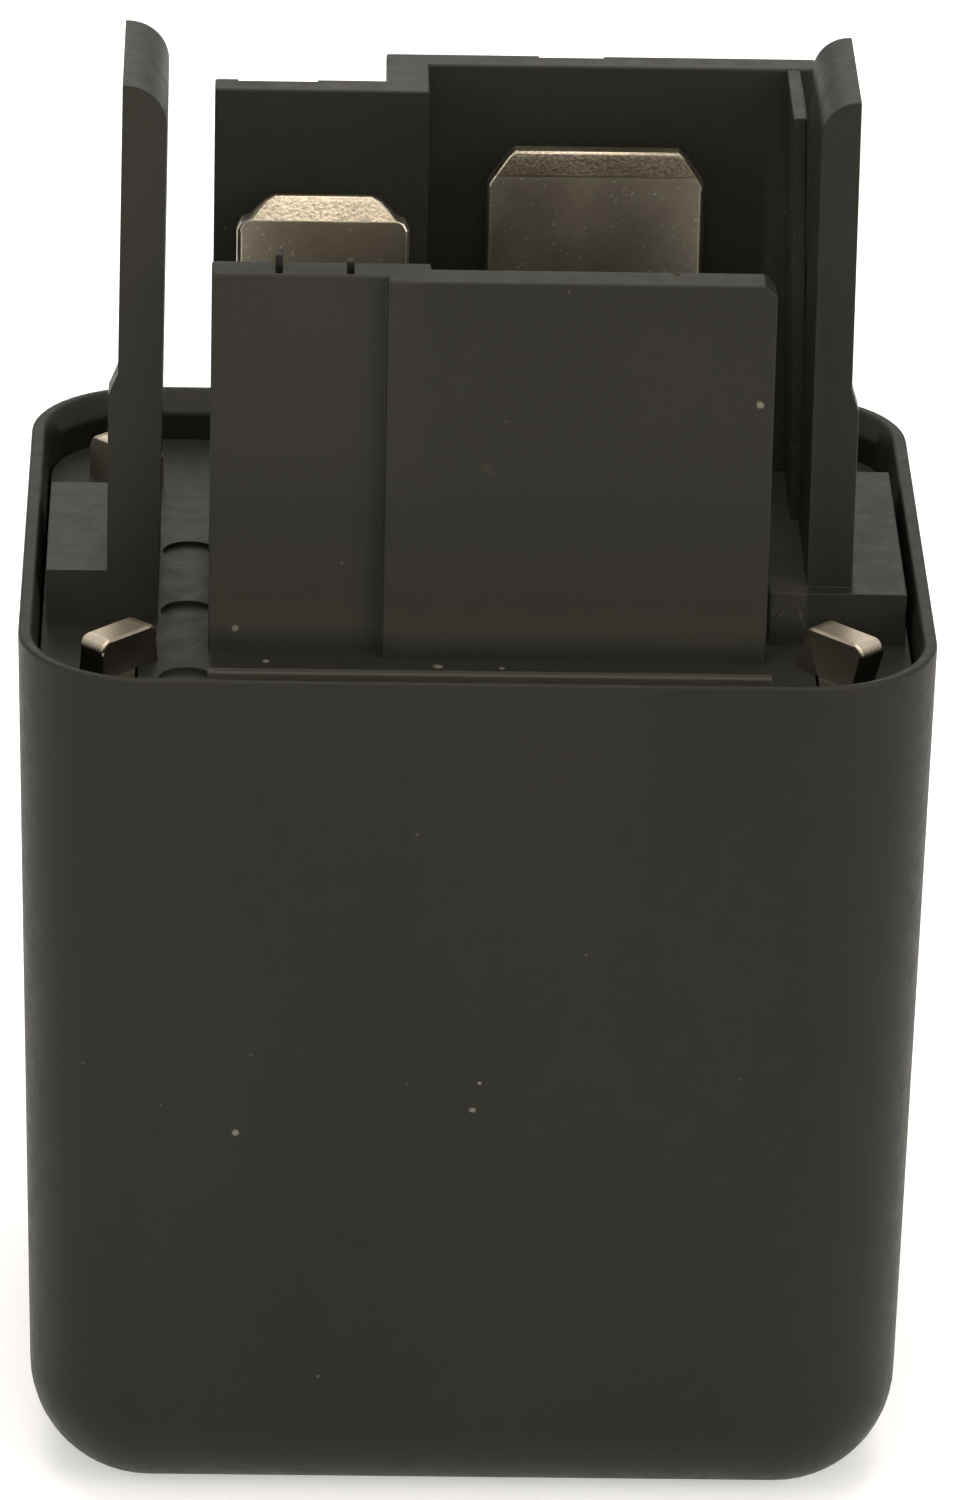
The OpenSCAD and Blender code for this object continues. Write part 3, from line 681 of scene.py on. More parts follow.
@dataclass(frozen=True)
class MouldedPlastic:
    """Black moulded plastic with a fine spark-eroded grain, faint flow marks, dust, a painted
    highlight on its convex edges and an optional film of painted light and dust.
    """

    name: str
    tone: Colour
    roughness: float = 0.46
    spread: float = 0.16
    grain: float = 0.16
    depth: float = 0.012
    gloss: float = 0.12
    # share of the tone on convex edges: a painted highlight
    edge_highlight: float = 2.2
    edge_highlight_levels: Span = (0.52, 0.60)
    sink_depth: float = 0.05
    sheen_tone: Colour = (1.0, 0.95, 0.82)
    # tone of the dust, also used for the film of painted light
    dust_and_light_tone: Colour = (0.16, 0.15, 0.125)
    dust_spacing: float = 2.6
    dust_levels: Span = (0.014, 0.030)
    ragged: float = 0.12
    ragged_size: float = 0.35
    specks: Tuple[Speck, ...] = ()
    film: Optional[PaintedLightAndDustFilm] = None

    def ragged_place(self, tree: Tree) -> Socket:
        """Shifts the place a little at random, so that no speck is quite round.

        Args:
            tree: The material's nodes.

        Returns:
            The shifted place.
        """
        noise = tree.add("ShaderNodeTexNoise")
        tree.feed(noise, Vector=tree.place, Scale=1.0 / (self.ragged_size * MM))
        shake = tree.add("ShaderNodeVectorMath", operation="SCALE")
        tree.feed(shake, Vector=noise.outputs["Color"], Scale=self.ragged * MM)
        moved = tree.add("ShaderNodeVectorMath", operation="ADD")
        tree.links.new(tree.place, moved.inputs[0])
        tree.links.new(shake.outputs["Vector"], moved.inputs[1])
        return moved.outputs["Vector"]

    def dust(self, tree: Tree) -> Socket:
        """Builds a mask of the single specks and of a sparse fine dust.

        Args:
            tree: The material's nodes.

        Returns:
            The mask, 1 where dust lies.
        """
        place = self.ragged_place(tree)
        cells = tree.add("ShaderNodeTexVoronoi")
        tree.feed(cells, Vector=place, Scale=1.0 / (self.dust_spacing * MM))
        mask = tree.spread(cells.outputs["Distance"], 0.30, 0.0, *self.dust_levels)
        middle = Vector((1, 1, 1)) * (self.ragged / 2) * MM
        for speck in self.specks:
            gap = tree.add("ShaderNodeVectorMath", operation="DISTANCE")
            tree.links.new(place, gap.inputs[0])
            gap.inputs[1].default_value = mm(*speck.place) + middle
            spot = tree.spread(gap.outputs["Value"], speck.strength, 0.0,
                               speck.radius * 0.55 * MM, speck.radius * MM)
            mask = tree.math("MAXIMUM", mask, spot)
        return mask

    def body(self, tree: Tree, cloud: Socket) -> Socket:
        """Builds the plastic's colour, with flow marks and a painted highlight on its convex
        edges.

        Args:
            tree: The material's nodes.
            cloud: The fine pattern that the colour and the roughness share.

        Returns:
            The colour.
        """
        dark = tuple(value * (1.0 - self.spread) for value in self.tone)
        pale = tuple(value * (1.0 + self.spread) for value in self.tone)
        flow = tree.noise(9.0, 2.0, 0.5, (1.0, 1.0, 0.45))
        blend = tree.math("ADD", tree.spread(flow, 0.0, 0.55), tree.spread(cloud, 0.0, 0.45))
        # painted highlight: convex edges get a lighter tone
        convexity = tree.add("ShaderNodeNewGeometry").outputs["Pointiness"]
        edge = tree.spread(convexity, 0.0, 0.35, *self.edge_highlight_levels)
        return tree.mix(edge, tree.mix(blend, dark, pale),
                        tuple(value * self.edge_highlight for value in self.tone))

    def material(self) -> bpy.types.Material:
        """Builds the material.

        Returns:
            The material.
        """
        tree = Tree(self.name)
        cloud = tree.noise(0.7, 4.0, 0.6)
        colour = self.body(tree, cloud)
        # painted light low on the front wall, and dust crumbs in the gap
        if self.film is not None:
            colour = tree.mix(self.film.mask(tree), colour, self.dust_and_light_tone)
        colour = tree.mix(self.dust(tree), colour, self.dust_and_light_tone)
        sink = tree.bump(tree.noise(7.0, 1.0, 0.4), self.sink_depth, 0.35)
        normal = tree.bump(tree.noise(self.grain, 3.0, 0.6), self.depth, 0.8, sink)
        tree.feed(tree.shader, Base_Color=colour, Normal=normal,
                  Roughness=tree.spread(cloud, self.roughness - 0.05, self.roughness + 0.07),
                  Specular_IOR_Level=self.gloss, Specular_Tint=self.sheen_tone)
        return tree.material


@dataclass(frozen=True)
class RawTips:
    """The tips of the blades, where the cut and the bevel left the bare, pitted metal."""

    tone: Colour
    levels: Pair = (45.2, 46.0)
    middle: Span = (-0.1, 0.1)
    fade: Span = (-0.03, 0.05)
    pit: float = 0.13
    pit_depth: float = 0.02
    dulled: float = 0.62

    def mask(self, tree: Tree) -> Socket:
        """Builds the mask of the tips.

        Args:
            tree: The material's nodes.

        Returns:
            The mask, 1 over the tip levels left and right of the middle.
        """
        x, _, z = tree.axes(tree.place)
        left, right = self.levels
        level = tree.along(x, self.middle, left * MM, right * MM)
        return tree.along(tree.math("SUBTRACT", z, level), self.fade)

    def apply(self, tree: Tree, colour: Socket, normal: Socket) -> Tuple[Socket, Socket]:
        """Lays the raw metal over the plating.

        Args:
            tree: The material's nodes.
            colour: The plating's colour.
            normal: The plating's normal.

        Returns:
            The new colour and normal.
        """
        tips = self.mask(tree)
        pitted = tree.noise(self.pit, 2.0, 0.5)
        dull = tuple(value * self.dulled for value in self.tone)
        bare = tree.mix(tree.spread(pitted, 0.0, 1.0, 0.35, 0.65), dull, self.tone)
        pits = tree.product(pitted, tips)
        return tree.mix(tips, colour, bare), tree.bump(pits, self.pit_depth, 0.6, normal)


@dataclass(frozen=True)
class PaintedShadeOnTabs:
    """Painted shade on the sides and lower parts of the yoke's front tabs."""

    tone: Colour
    seat_z: Span = (29.8, 30.2)
    neck_z: Span = (32.5, 32.7)
    front_y: Span = (-0.5, 0.5)
    upward: Span = (0.25, 0.6)

    def apply(self, tree: Tree, colour: Socket) -> Socket:
        """Paints the dark tone over the tabs' sides and lower parts as shade, apart from the
        up-facing tops of their heads.

        Args:
            tree: The material's nodes.
            colour: The plating's colour.

        Returns:
            The new colour.
        """
        _, _, up = tree.axes(tree.add("ShaderNodeNewGeometry").outputs["True Normal"])
        _, y, z = tree.axes(tree.place)
        # faces that do not face up get the painted shade
        aside = tree.spread(up, 1.0, 0.0, *self.upward)
        dark = tree.math("MAXIMUM", aside, tree.along(z, self.neck_z, 1.0, 0.0))
        mask = tree.product(tree.along(z, self.seat_z), tree.along(y, self.front_y, 1.0, 0.0),
                            dark)
        return tree.mix(mask, colour, self.tone)


@dataclass(frozen=True)
class PlatedMetal:
    """Plated sheet metal with a fine grain, faint stains and pale flecks."""

    name: str
    tone: Colour
    stain: Colour
    roughness: float
    grain: float = 0.12
    depth: float = 0.01
    flecks: float = 0.0
    fleck_tone: Colour = (0.95, 0.93, 0.88)
    tips: Optional[RawTips] = None
    # painted shade on the yoke's front tabs
    sides: Optional[PaintedShadeOnTabs] = None

    def material(self) -> bpy.types.Material:
        """Builds the material.

        Returns:
            The material.
        """
        tree = Tree(self.name)
        stain = tree.noise(2.2, 3.0, 0.5)
        grain = tree.noise(self.grain, 3.0, 0.6)
        spots = tree.spread(stain, 0.0, 0.4, 0.2, 0.8)
        fine = tree.spread(grain, 0.0, 0.4, 0.3, 0.8)
        colour = tree.mix(tree.math("ADD", spots, fine), self.tone, self.stain)
        normal = tree.bump(grain, self.depth, 0.7)
        if self.flecks > 0.0:
            flecks = tree.spread(tree.noise(0.16, 2.0, 0.55), 0.0, self.flecks, 0.66, 0.74)
            colour = tree.mix(flecks, colour, self.fleck_tone)
        if self.tips is not None:
            colour, normal = self.tips.apply(tree, colour, normal)
        # painted shade on the yoke's front tabs
        if self.sides is not None:
            colour = self.sides.apply(tree, colour)
        tree.feed(tree.shader, Base_Color=colour, Metallic=1.0, Normal=normal,
                  Roughness=tree.spread(stain, self.roughness - 0.02, self.roughness + 0.05))
        return tree.material


@dataclass(frozen=True)
class Resin:
    """Unfilled or lacquered plastic of the coil: bobbin, enamel and tape."""

    name: str
    tone: Colour
    shade: Colour
    roughness: float
    coat: float = 0.0

    def material(self) -> bpy.types.Material:
        """Builds the material.

        Returns:
            The material.
        """
        tree = Tree(self.name)
        cloud = tree.noise(1.6, 4.0, 0.6)
        grain = tree.noise(0.2, 2.0, 0.5)
        colour = tree.mix(tree.spread(cloud, 0.0, 1.0), self.tone, self.shade)
        tree.feed(tree.shader, Base_Color=colour, Coat_Weight=self.coat,
                  Roughness=tree.spread(grain, self.roughness - 0.05, self.roughness + 0.05),
                  Normal=tree.bump(grain, 0.01, 0.5))
        return tree.material


class Finishes:
    """The relay's finishes, by the record's material slots."""

    CAP_SPECKS = (Speck((-8.5, -14.35, 15.7), 0.16), Speck((0.05, -14.35, 16.7), 0.13),
                  Speck((0.3, -14.35, 17.8), 0.09), Speck((-5.4, -14.2, 5.8), 0.11))
    BASE_SPECKS = (Speck((9.94, -8.25, 41.8), 0.17), Speck((0.2, -8.25, 39.3), 0.26, 0.07),
                   Speck((0.42, -8.25, 39.0), 0.2, 0.06),
                   Speck((-8.73, -7.67, 32.7), 0.15), Speck((11.44, 6.0, 43.95), 0.2, 0.8),
                   Speck((11.84, -5.1, 48.3), 0.16, 0.7), Speck((-1.4, -8.9, 31.8), 0.2),
                   Speck((-7.6, -8.6, 31.8), 0.16), Speck((0.9, -9.0, 31.8), 0.13))
    BLACK = (0.0160, 0.0160, 0.0136)

    def __init__(self) -> None:
        """Builds every finish once."""
        finishes = (
            MouldedPlastic("black_plastic_cap", self.BLACK, specks=self.CAP_SPECKS),
            # the base's film paints light low on the front wall
            MouldedPlastic("black_plastic_base", self.BLACK, roughness=0.44,
                           specks=self.BASE_SPECKS, film=PaintedLightAndDustFilm(0.2)),
            # the yoke's front tabs get painted shade on their sides
            PlatedMetal("plated_steel", (0.5, 0.435, 0.34), (0.33, 0.285, 0.22), 0.4,
                        grain=0.3, depth=0.004, sides=PaintedShadeOnTabs((0.062, 0.053, 0.041))),
            PlatedMetal("soft_iron", (0.55, 0.54, 0.51), (0.3, 0.29, 0.27), 0.38),
            Resin("natural_nylon", (0.74, 0.7, 0.6), (0.64, 0.59, 0.48), 0.45),
            Resin("copper_enamel", (0.42, 0.14, 0.04), (0.3, 0.085, 0.022), 0.28, coat=0.6),
            Resin("amber_tape", (0.55, 0.36, 0.07), (0.46, 0.28, 0.05), 0.2, coat=0.4),
            PlatedMetal("tinned_brass", (0.56, 0.51, 0.42), (0.36, 0.32, 0.255), 0.31,
                        grain=0.34, depth=0.004, flecks=0.8,
                        tips=RawTips((0.41, 0.355, 0.27))),
            PlatedMetal("silver_contact", (0.82, 0.81, 0.78), (0.6, 0.58, 0.54), 0.31),
            PlatedMetal("spring_bronze", (0.66, 0.43, 0.19), (0.5, 0.3, 0.12), 0.31),
            PlatedMetal("rivet_steel", (0.62, 0.61, 0.58), (0.42, 0.41, 0.38), 0.32))
        self.by_slot: Dict[str, bpy.types.Material] = {
            finish.name: finish.material() for finish in finishes}

    def dress(self, obj: Piece, slot: str) -> None:
        """Gives an object one of the finishes.

        Args:
            obj: The object.
            slot: Name of the record's material slot.
        """
        obj.data.materials.clear()
        obj.data.materials.append(self.by_slot[slot])


@dataclass
class Cap:
    """The deep cup that closes the relay."""

    draft: float = 0.5
    corner: float = 4.45
    wall_side: float = 0.65
    wall_end: float = 1.1
    land_side: float = 0.5
    land_end: float = 0.3
    lead_in: float = 0.7
    seat: float = 0.5
    seat_z: float = 29.8
    floor: float = 1.5
    cove: float = 2.5
    narrowed: Pair = (0.968, 0.964)
    coved: Pair = (0.84, 0.82)

    def build(self) -> Piece:
        """Models the cup: a rounded block, hollowed from its rim.

        Returns:
            The cap.
        """
        low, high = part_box("cap")
        half_w, half_d, top = high.x / MM, high.y / MM, high.z / MM
        closed_w, closed_d = half_w - self.draft, half_d - self.draft
        cap = Bench.block("cap_shell", (-closed_w, -closed_d, low.z / MM),
                          (closed_w, closed_d, top))
        Bench.round_edges(cap, lambda p: min(v.z for v in p) < 0.5 * MM, self.corner, 14)
        Bench.select(cap, Pick.VERTICES, within(z=(top, FAR)))
        bpy.ops.transform.resize(value=(half_w / closed_w, half_d / closed_d, 1.0),
                                 center_override=(0.0, 0.0, high.z))
        Bench.select(cap, Pick.FACES, within(z=(top, FAR)))
        self.hollow(half_w, half_d, top)
        Bench.soften(cap, 0.12, 3, 30.0)
        return cap

    def hollow(self, half_w: float, half_d: float, top: float) -> None:
        """Insets the selected rim face, slopes it in, and sinks it in steps to the floor.

        Args:
            half_w: Half of the width at the rim in millimetres.
            half_d: Half of the depth at the rim in millimetres.
            top: Height of the rim in millimetres.
        """
        land_w, land_d = half_w - self.land_side, half_d - self.land_end
        bpy.ops.mesh.inset(thickness=self.land_side * MM)
        bpy.ops.transform.resize(value=(1.0, land_d / (half_d - self.land_side), 1.0))
        self.sink(self.lead_in, (half_w - self.wall_side) / land_w,
                  (half_d - self.wall_end) / land_d)
        self.sink(top - self.lead_in - self.seat_z, 1.0, 1.0)
        bpy.ops.mesh.inset(thickness=self.seat * MM)
        self.sink(self.seat_z - self.floor - self.cove, *self.narrowed)
        self.sink(self.cove, *self.coved)

    @staticmethod
    def sink(depth: float, share_w: float, share_d: float) -> None:
        """Extrudes the selected face downwards and scales it at its new depth.

        Args:
            depth: How far it goes down in millimetres.
            share_w: Scale along X.
            share_d: Scale along Y.
        """
        bpy.ops.mesh.extrude_region_move(TRANSFORM_OT_translate={"value": (0, 0, -depth * MM)})
        bpy.ops.transform.resize(value=(share_w, share_d, 1.0))


@dataclass
class GuideRail:
    """One tall guide rail: it leans in, its inner top edge is round and its foot flares out."""

    side: int
    inner: float
    thickness: float
    front: float
    lean: float
    pad: Tuple[Triple, Triple]
    depth: float = 7.2
    top: float = 52.4
    foot: float = 40.6
    flare: float = 0.9
    foot_extra: float = 0.25
    foot_depth: float = 1.2
    base: float = 31.3
    crown: float = 0.94
    foot_lean: float = 0.6

    def build(self) -> Piece:
        """Models the rail from a block and unites it with its foot and its pad.

        Returns:
            The rail on its pad.
        """
        rail = Bench.block("rail", (self.side * self.inner, self.front, self.base),
                           (self.side * (self.inner + self.thickness),
                            self.front + self.depth, self.top))
        Bench.shift(rail, within(z=(self.top, FAR)), mm(-self.side * self.lean, 0, 0))
        brink = (-self.side * FAR, self.side * (self.inner - self.lean))
        Bench.round_edges(rail, within(x=brink, z=(self.top, FAR)),
                          self.thickness * self.crown, 10)
        pad = Bench.block("pad", *self.pad)
        Bench.fuse(pad, [rail, self.build_foot()])
        Bench.soften(pad, 0.1, 3, 30.0)
        return pad

    def build_foot(self) -> Piece:
        """Models the thicker front of the foot, whose outer side tapers off upwards.

        Returns:
            The foot.
        """
        mid = self.side * (self.inner + self.thickness / 2)
        out = self.side * (self.inner + self.thickness + self.foot_extra)
        top = self.foot + self.flare
        foot = Bench.block("foot", (mid, self.front, self.base),
                           (out, self.front + self.foot_depth, top))
        Bench.split(foot, mm(0, 0, self.foot), (0.0, 0.0, 1.0))
        taper = self.foot_extra + self.lean * self.foot_lean
        Bench.shift(foot, within(x=(out, self.side * FAR), z=(top, FAR)),
                    mm(-self.side * taper, 0, 0))
        return foot


@dataclass(frozen=True)
class SteppedWall:
    """A wall of the connector shroud: a long run, and a left part that stands off from it."""

    name: str
    run_y: float
    jog: float
    thickness: float
    top: float
    right: float
    foot: float = 31.3
    left: float = -9.7
    step_x: float = -3.42
    web_x: float = -1.87

    def build(self) -> Piece:
        """Models the left part, pulls the web out of it, and the long run out of the web.

        Returns:
            The wall, still in edit mode.
        """
        part_y = self.run_y + self.jog
        wall = Bench.block(self.name, (self.left, part_y, self.foot),
                           (self.web_x, part_y + self.thickness, self.top))
        Bench.split(wall, mm(self.step_x, 0, 0), (1.0, 0.0, 0.0))
        if self.jog > 0:
            web, run, joint = (-FAR, part_y), (-FAR, self.back), self.back
        else:
            web, run, joint = (part_y + self.thickness, FAR), (self.run_y, FAR), self.run_y
        Bench.pull(wall, within(x=(self.step_x, FAR), y=web), mm(0, -self.jog, 0))
        Bench.split(wall, mm(0, joint, 0), (0.0, 1.0, 0.0))
        Bench.pull(wall, within(x=(self.web_x, FAR), y=run), mm(self.right - self.web_x, 0, 0))
        return wall

    @property
    def back(self) -> float:
        """Gives the far side of the long run.

        Returns:
            Its Y in millimetres.
        """
        return self.run_y + self.thickness


@dataclass
class BaseMoulding:
    """The moulded base: plate, pads, rails and the two walls of the connector shroud."""

    floor: float = 31.8
    seat: float = 29.8
    sunk: float = 31.3
    half_size: Pair = (15.75, 13.4)
    corner: float = 3.85
    tab_place: Pair = (12.9, 9.15)
    tab_slot: Pair = (1.4, 3.0)
    blade_slots: Tuple[Triple, ...] = (
        (-5.7, -4.42, 6.4), (-5.7, 1.25, 6.4), (4.32, -5.0, 8.1), (4.32, 4.3, 8.1))
    blade_slot: float = 0.9
    marks: Tuple[float, ...] = (1.95, -3.9, -10.25)
    mark_x: float = -10.45
    mark_depth: float = 0.16
    mark_radius: float = 1.0
    front: SteppedWall = SteppedWall("front_wall", run_y=-8.25, jog=0.58, thickness=1.4,
                                     top=46.3, right=10.45)
    rear: SteppedWall = SteppedWall("rear_wall", run_y=6.15, jog=-3.05, thickness=1.2,
                                    top=49.5, right=12.4)
    wall_edge: float = 0.09
    front_chamfer: float = 0.4
    keys: Tuple[Pair, ...] = ((-7.3, 0.35), (-4.75, 0.14))  # each rib's X and rise
    key_half: float = 0.13
    key_skin: float = 0.15
    key_depth: float = 0.5
    rib_y: Span = (-0.3, 0.26)
    nick_x: Span = (6.75, 7.0)
    nick_depth: Pair = (0.35, 0.3)
    dip_xs: Tuple[Span, Span] = ((-8.85, -5.95), (2.2, 4.6))
    dip_depth: Pair = (0.25, 1.2)
    side_x: Span = (11.3, 11.8)
    side_y: Span = (0.8, 6.75)
    side_top: float = 49.47
    side_lean: float = 0.45
    lip_y: Span = (-13.25, -12.8)
    lip_top: float = 33.3
    stop_x: Span = (-2.15, -0.15)
    stop_y: Span = (-1.5, 1.5)
    stop_sunk: float = 0.2
    pad_top: float = 33.8

    def plate(self) -> Piece:
        """Models the plate with its slots and round marks.

        Returns:
            The plate.
        """
        half_w, half_d = self.half_size
        plate = Bench.block("plate", (-half_w, -half_d, self.seat), (half_w, half_d, self.floor))
        Bench.round_edges(plate, lambda p: span_z(p) > 1.0, self.corner, 9)
        tab_x, tab_y = self.tab_place
        for x in (-tab_x, tab_x):
            for y in (-tab_y, tab_y):
                self.slot(plate, x, y, *self.tab_slot)
        for x, y, width in self.blade_slots:
            self.slot(plate, x, y, width, self.blade_slot)
        for y in self.marks:
            foot = (self.mark_x, y, self.floor - self.mark_depth)
            Bench.cut(plate, Bench.rod("mark", foot, self.mark_radius, CLEAR, 40))
        Bench.soften(plate, 0.06, 2, 50.0)
        return plate

    def slot(self, plate: Piece, x: float, y: float, width: float, depth: float) -> None:
        """Cuts one slot through the plate.

        Args:
            plate: The plate.
            x: Centre along X in millimetres.
            y: Centre along Y in millimetres.
            width: Size along X in millimetres.
            depth: Size along Y in millimetres.
        """
        Bench.carve(plate, (x - width / 2, y - depth / 2, self.seat - CLEAR),
                    (x + width / 2, y + depth / 2, self.floor + CLEAR))

    def front_wall(self) -> Piece:
        """Models the low front wall, with slots over its ribs and a nick.

        Returns:
            The wall.
        """
        back, top = self.front.back, self.front.top
        wall = self.front.build()
        Bench.round_edges(wall, within(x=(self.front.right, FAR), z=(top, FAR)),
                          self.front_chamfer, 1)
        Bench.ease(wall, self.wall_edge)
        skin = self.front.run_y + self.front.jog + self.key_skin
        for x, _ in self.keys:
            Bench.carve(wall, (x - self.key_half, skin, top - self.key_depth),
                        (x + self.key_half, back + CLEAR, top + CLEAR))
        (left, right), (inward, down) = self.nick_x, self.nick_depth
        Bench.carve(wall, (left, back - inward, top - down), (right, back + CLEAR, top + CLEAR))
        Bench.shade(wall)
        return wall

    def key_ribs(self) -> List[Piece]:
        """Models the two thin ribs behind the front wall.

        Returns:
            The ribs.
        """
        near, far = (self.front.back + self.front.jog + y for y in self.rib_y)
        return [Bench.bar("rib", (x - self.key_half, near, self.sunk),
                          (x + self.key_half, far, self.front.top + proud), 0.05, 2)
                for x, proud in self.keys]

    def rear_wall(self) -> Piece:
        """Models the tall rear wall, with two dips in its back.

        Returns:
            The wall.
        """
        back, top = self.rear.back, self.rear.top
        wall = self.rear.build()
        Bench.ease(wall, self.wall_edge)
        inward, down = self.dip_depth
        for (left, right), y in zip(self.dip_xs, (back + self.rear.jog, back)):
            Bench.carve(wall, (left, y - inward, top - down), (right, y + CLEAR, top + CLEAR))
        Bench.shade(wall)
        return wall

    def side_wall(self) -> Piece:
        """Models the thin leaning wall on the right.

        Returns:
            The wall.
        """
        (left, right), (near, far) = self.side_x, self.side_y
        wall = Bench.block("side_wall", (left, near, self.sunk), (right, far, self.side_top))
        Bench.shift(wall, within(z=(-FAR, self.sunk)), mm(self.side_lean, 0, 0))
        Bench.soften(wall, 0.08)
        return wall

    def lip(self) -> Piece:
        """Models the lip along the front edge.

        Returns:
            The lip.
        """
        near, far = self.lip_y
        return Bench.bar("lip", (self.front.left, near, self.sunk),
                         (self.front.right, far, self.lip_top), 0.1)

    def stop(self) -> Piece:
        """Models the post under the plate that stops the open armature.

        Returns:
            The stop.
        """
        (left, right), (near, far) = self.stop_x, self.stop_y
        return Bench.bar("stop", (left, near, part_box("base")[0].z / MM),
                         (right, far, self.seat + self.stop_sunk), 0.1, 2)

    def rails(self) -> List[Piece]:
        """Models both guide rails, each on its pad.

        Returns:
            The rails.
        """
        left = ((-15.6, -5.0, self.sunk), (-11.55, 3.7, self.pad_top))
        right = ((10.6, -6.4, self.sunk), (15.6, 5.8, self.pad_top))
        rails = (GuideRail(-1, inner=11.55, thickness=1.6, front=-5.0, lean=0.2, pad=left),
                 GuideRail(1, inner=12.0, thickness=1.4, front=-5.8, lean=0.05, pad=right))
        return [rail.build() for rail in rails]

    def build(self) -> Piece:
        """Models every part of the base and joins them into one moulding.

        Returns:
            The base moulding.
        """
        parts = [self.plate(), self.front_wall(), self.rear_wall(), self.side_wall(),
                 self.stop(), *self.rails(), *self.key_ribs(), self.lip()]
        return Bench.join("base_moulding", parts)


@dataclass
class BladeTerminal:
    """A stamped terminal: a flat blade with a bevelled tip, and its foot inside the cap."""

    node: str
    centre: float
    width: float
    row: Row
    thickness: float = 0.8
    tip_length: float = 0.88
    tip_flat: float = 0.3
    tip_rise: float = 0.12
    corners: Tuple[Pair, ...] = (
        (0.18, 0.39), (0.49, 0.14), (0.76, 0.34), (1.03, 0.29), (1.25, 0.13), (1.42, 0.07))
    seat: float = 29.8
    foot_top: float = 29.4
    rim: float = 0.22

    def blade(self, y: float) -> Piece:
        """Models the blade from a block: cut corners, then a bevel on both faces.

        Args:
            y: Centre of its thickness in millimetres.

        Returns:
            The blade.
        """
        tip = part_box(self.node)[1].z / MM + self.tip_rise
        half = self.width / 2
        level = tip - sum(rise for _, rise in self.corners)
        blade = Bench.block("blade", (self.centre - half, y - self.thickness / 2, self.foot_top),
                            (self.centre + half, y + self.thickness / 2, level))
        levels = []
        wide = half
        for cut, rise in self.corners:
            Bench.pull(blade, within(z=(level, FAR)), mm(0, 0, rise))
            level += rise
            bpy.ops.transform.resize(value=((half - cut) / wide, 1.0, 1.0),
                                     center_override=mm(self.centre, y, level))
            wide = half - cut
            levels.append(level)
        start = tip - self.tip_length
        Bench.split(blade, mm(0, 0, start), (0.0, 0.0, 1.0))
        for level in levels:
            share = max(0.0, (level - start) / self.tip_length)
            thin = 1.0 - (1.0 - self.tip_flat / self.thickness) * share
            Bench.select(blade, Pick.VERTICES, within(z=(level, level)))
            bpy.ops.transform.resize(value=(1.0, thin, 1.0),
                                     center_override=mm(self.centre, y, level))
        below = (start - 0.05) * MM
        Bench.select(blade, Pick.EDGES, lambda p: span_z(p) > 2.0 and p[0].z < below)
        bpy.ops.mesh.bevel(offset=self.rim * MM, segments=3, affect="EDGES")
        Bench.soften(blade, 0.1, 3, 50.0)
        return blade

    def stamping(self, y: float, *strips: Tuple[Triple, Triple]) -> Piece:
        """Models the blade and the strips of the foot, and joins them.

        Args:
            y: Centre of the blade's thickness in millimetres.
            *strips: Two opposite corners of each strip in millimetres.

        Returns:
            The terminal.
        """
        parts = [self.blade(y)] + [Bench.bar("strip", *ends, 0.06, 2) for ends in strips]
        return Bench.join(self.node + "_stamping", parts)


@dataclass
class CoilTerminal(BladeTerminal):
    """A 6.3 mm terminal that feeds the coil."""

    leg_x: Span = (-5.9, -2.9)

    def build(self) -> Piece:
        """Models the terminal.

        Returns:
            The terminal.
        """
        low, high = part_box(self.node)
        near, far = sorted((low.y / MM, high.y / MM), key=abs)
        inward = -self.row.value * self.thickness
        left, right = self.leg_x
        return self.stamping(
            near - inward / 2,
            ((low.x / MM, near, self.seat - self.thickness), (high.x / MM, far, self.seat)),
            ((left, far, low.z / MM), (right, far + inward, self.foot_top)))


@dataclass
class LoadTerminal(BladeTerminal):
    """An 8 mm terminal that carries the switched current."""

    tip_flat: float = 0.7
    tip_rise: float = 0.1
    corners: Tuple[Pair, ...] = ((0.08, 0.28), (0.7, 0.93), (1.0, 0.28))
    shoulder: float = 27.3
    rear_leg_x: float = 8.9

    def build(self) -> Piece:
        """Models the terminal.

        Returns:
            The terminal.
        """
        low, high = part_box(self.node)
        left, right = self.centre - self.width / 2, high.x / MM
        back = high.y / MM
        face = back - self.thickness
        corner = (right, back, self.seat)
        if self.row is Row.FRONT:
            rest = (((right - self.thickness, low.y / MM, self.shoulder), corner),)
        else:
            leg, bottom = self.rear_leg_x, low.z / MM
            rest = (((leg, face, bottom), corner),
                    ((leg, low.y / MM, bottom), (right, back, bottom + self.thickness)))
        return self.stamping(back - self.thickness / 2,
                             ((left, face, self.shoulder), corner), *rest)


@dataclass
class Yoke:
    """The steel yoke, whose twisted tabs get rounded heads."""

    heads: float = 32.2
    reach: float = 2.2
    edge: float = 0.12
    settled: Tuple[Tuple[Triple, Triple], ...] = (
        ((-12.9, -9.15, 0.0), (0.0, 0.0, 0.14)), ((12.9, -9.15, 0.0), (0.3, 0.0, 0.34)),
        ((-12.9, 9.15, 0.0), (0.0, 0.0, 0.3)))

    def build(self) -> Piece:
        """Copies the yoke's solid, merges it and rounds the heads of its tabs.

        Returns:
            The yoke.
        """
        Bench.only(frame["nodes"]["yoke"])
        bpy.ops.object.duplicate()
        yoke = bpy.context.active_object
        yoke.name = "yoke_steel"
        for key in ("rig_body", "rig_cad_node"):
            if key in yoke:
                del yoke[key]
        yoke.parent = None
        Bench.merge(yoke, 0.4)
        Bench.round_edges(yoke, lambda p: all(v.z > self.heads * MM for v in p), self.edge, 4)
        for place, move in self.settled:
            centre = mm(*place)
            Bench.shift(yoke, lambda p: (p[0].xy - centre.xy).length < self.reach * MM
                        and p[0].z > self.heads * MM, mm(*move))
        Bench.shade(yoke, 30.0)
        return yoke


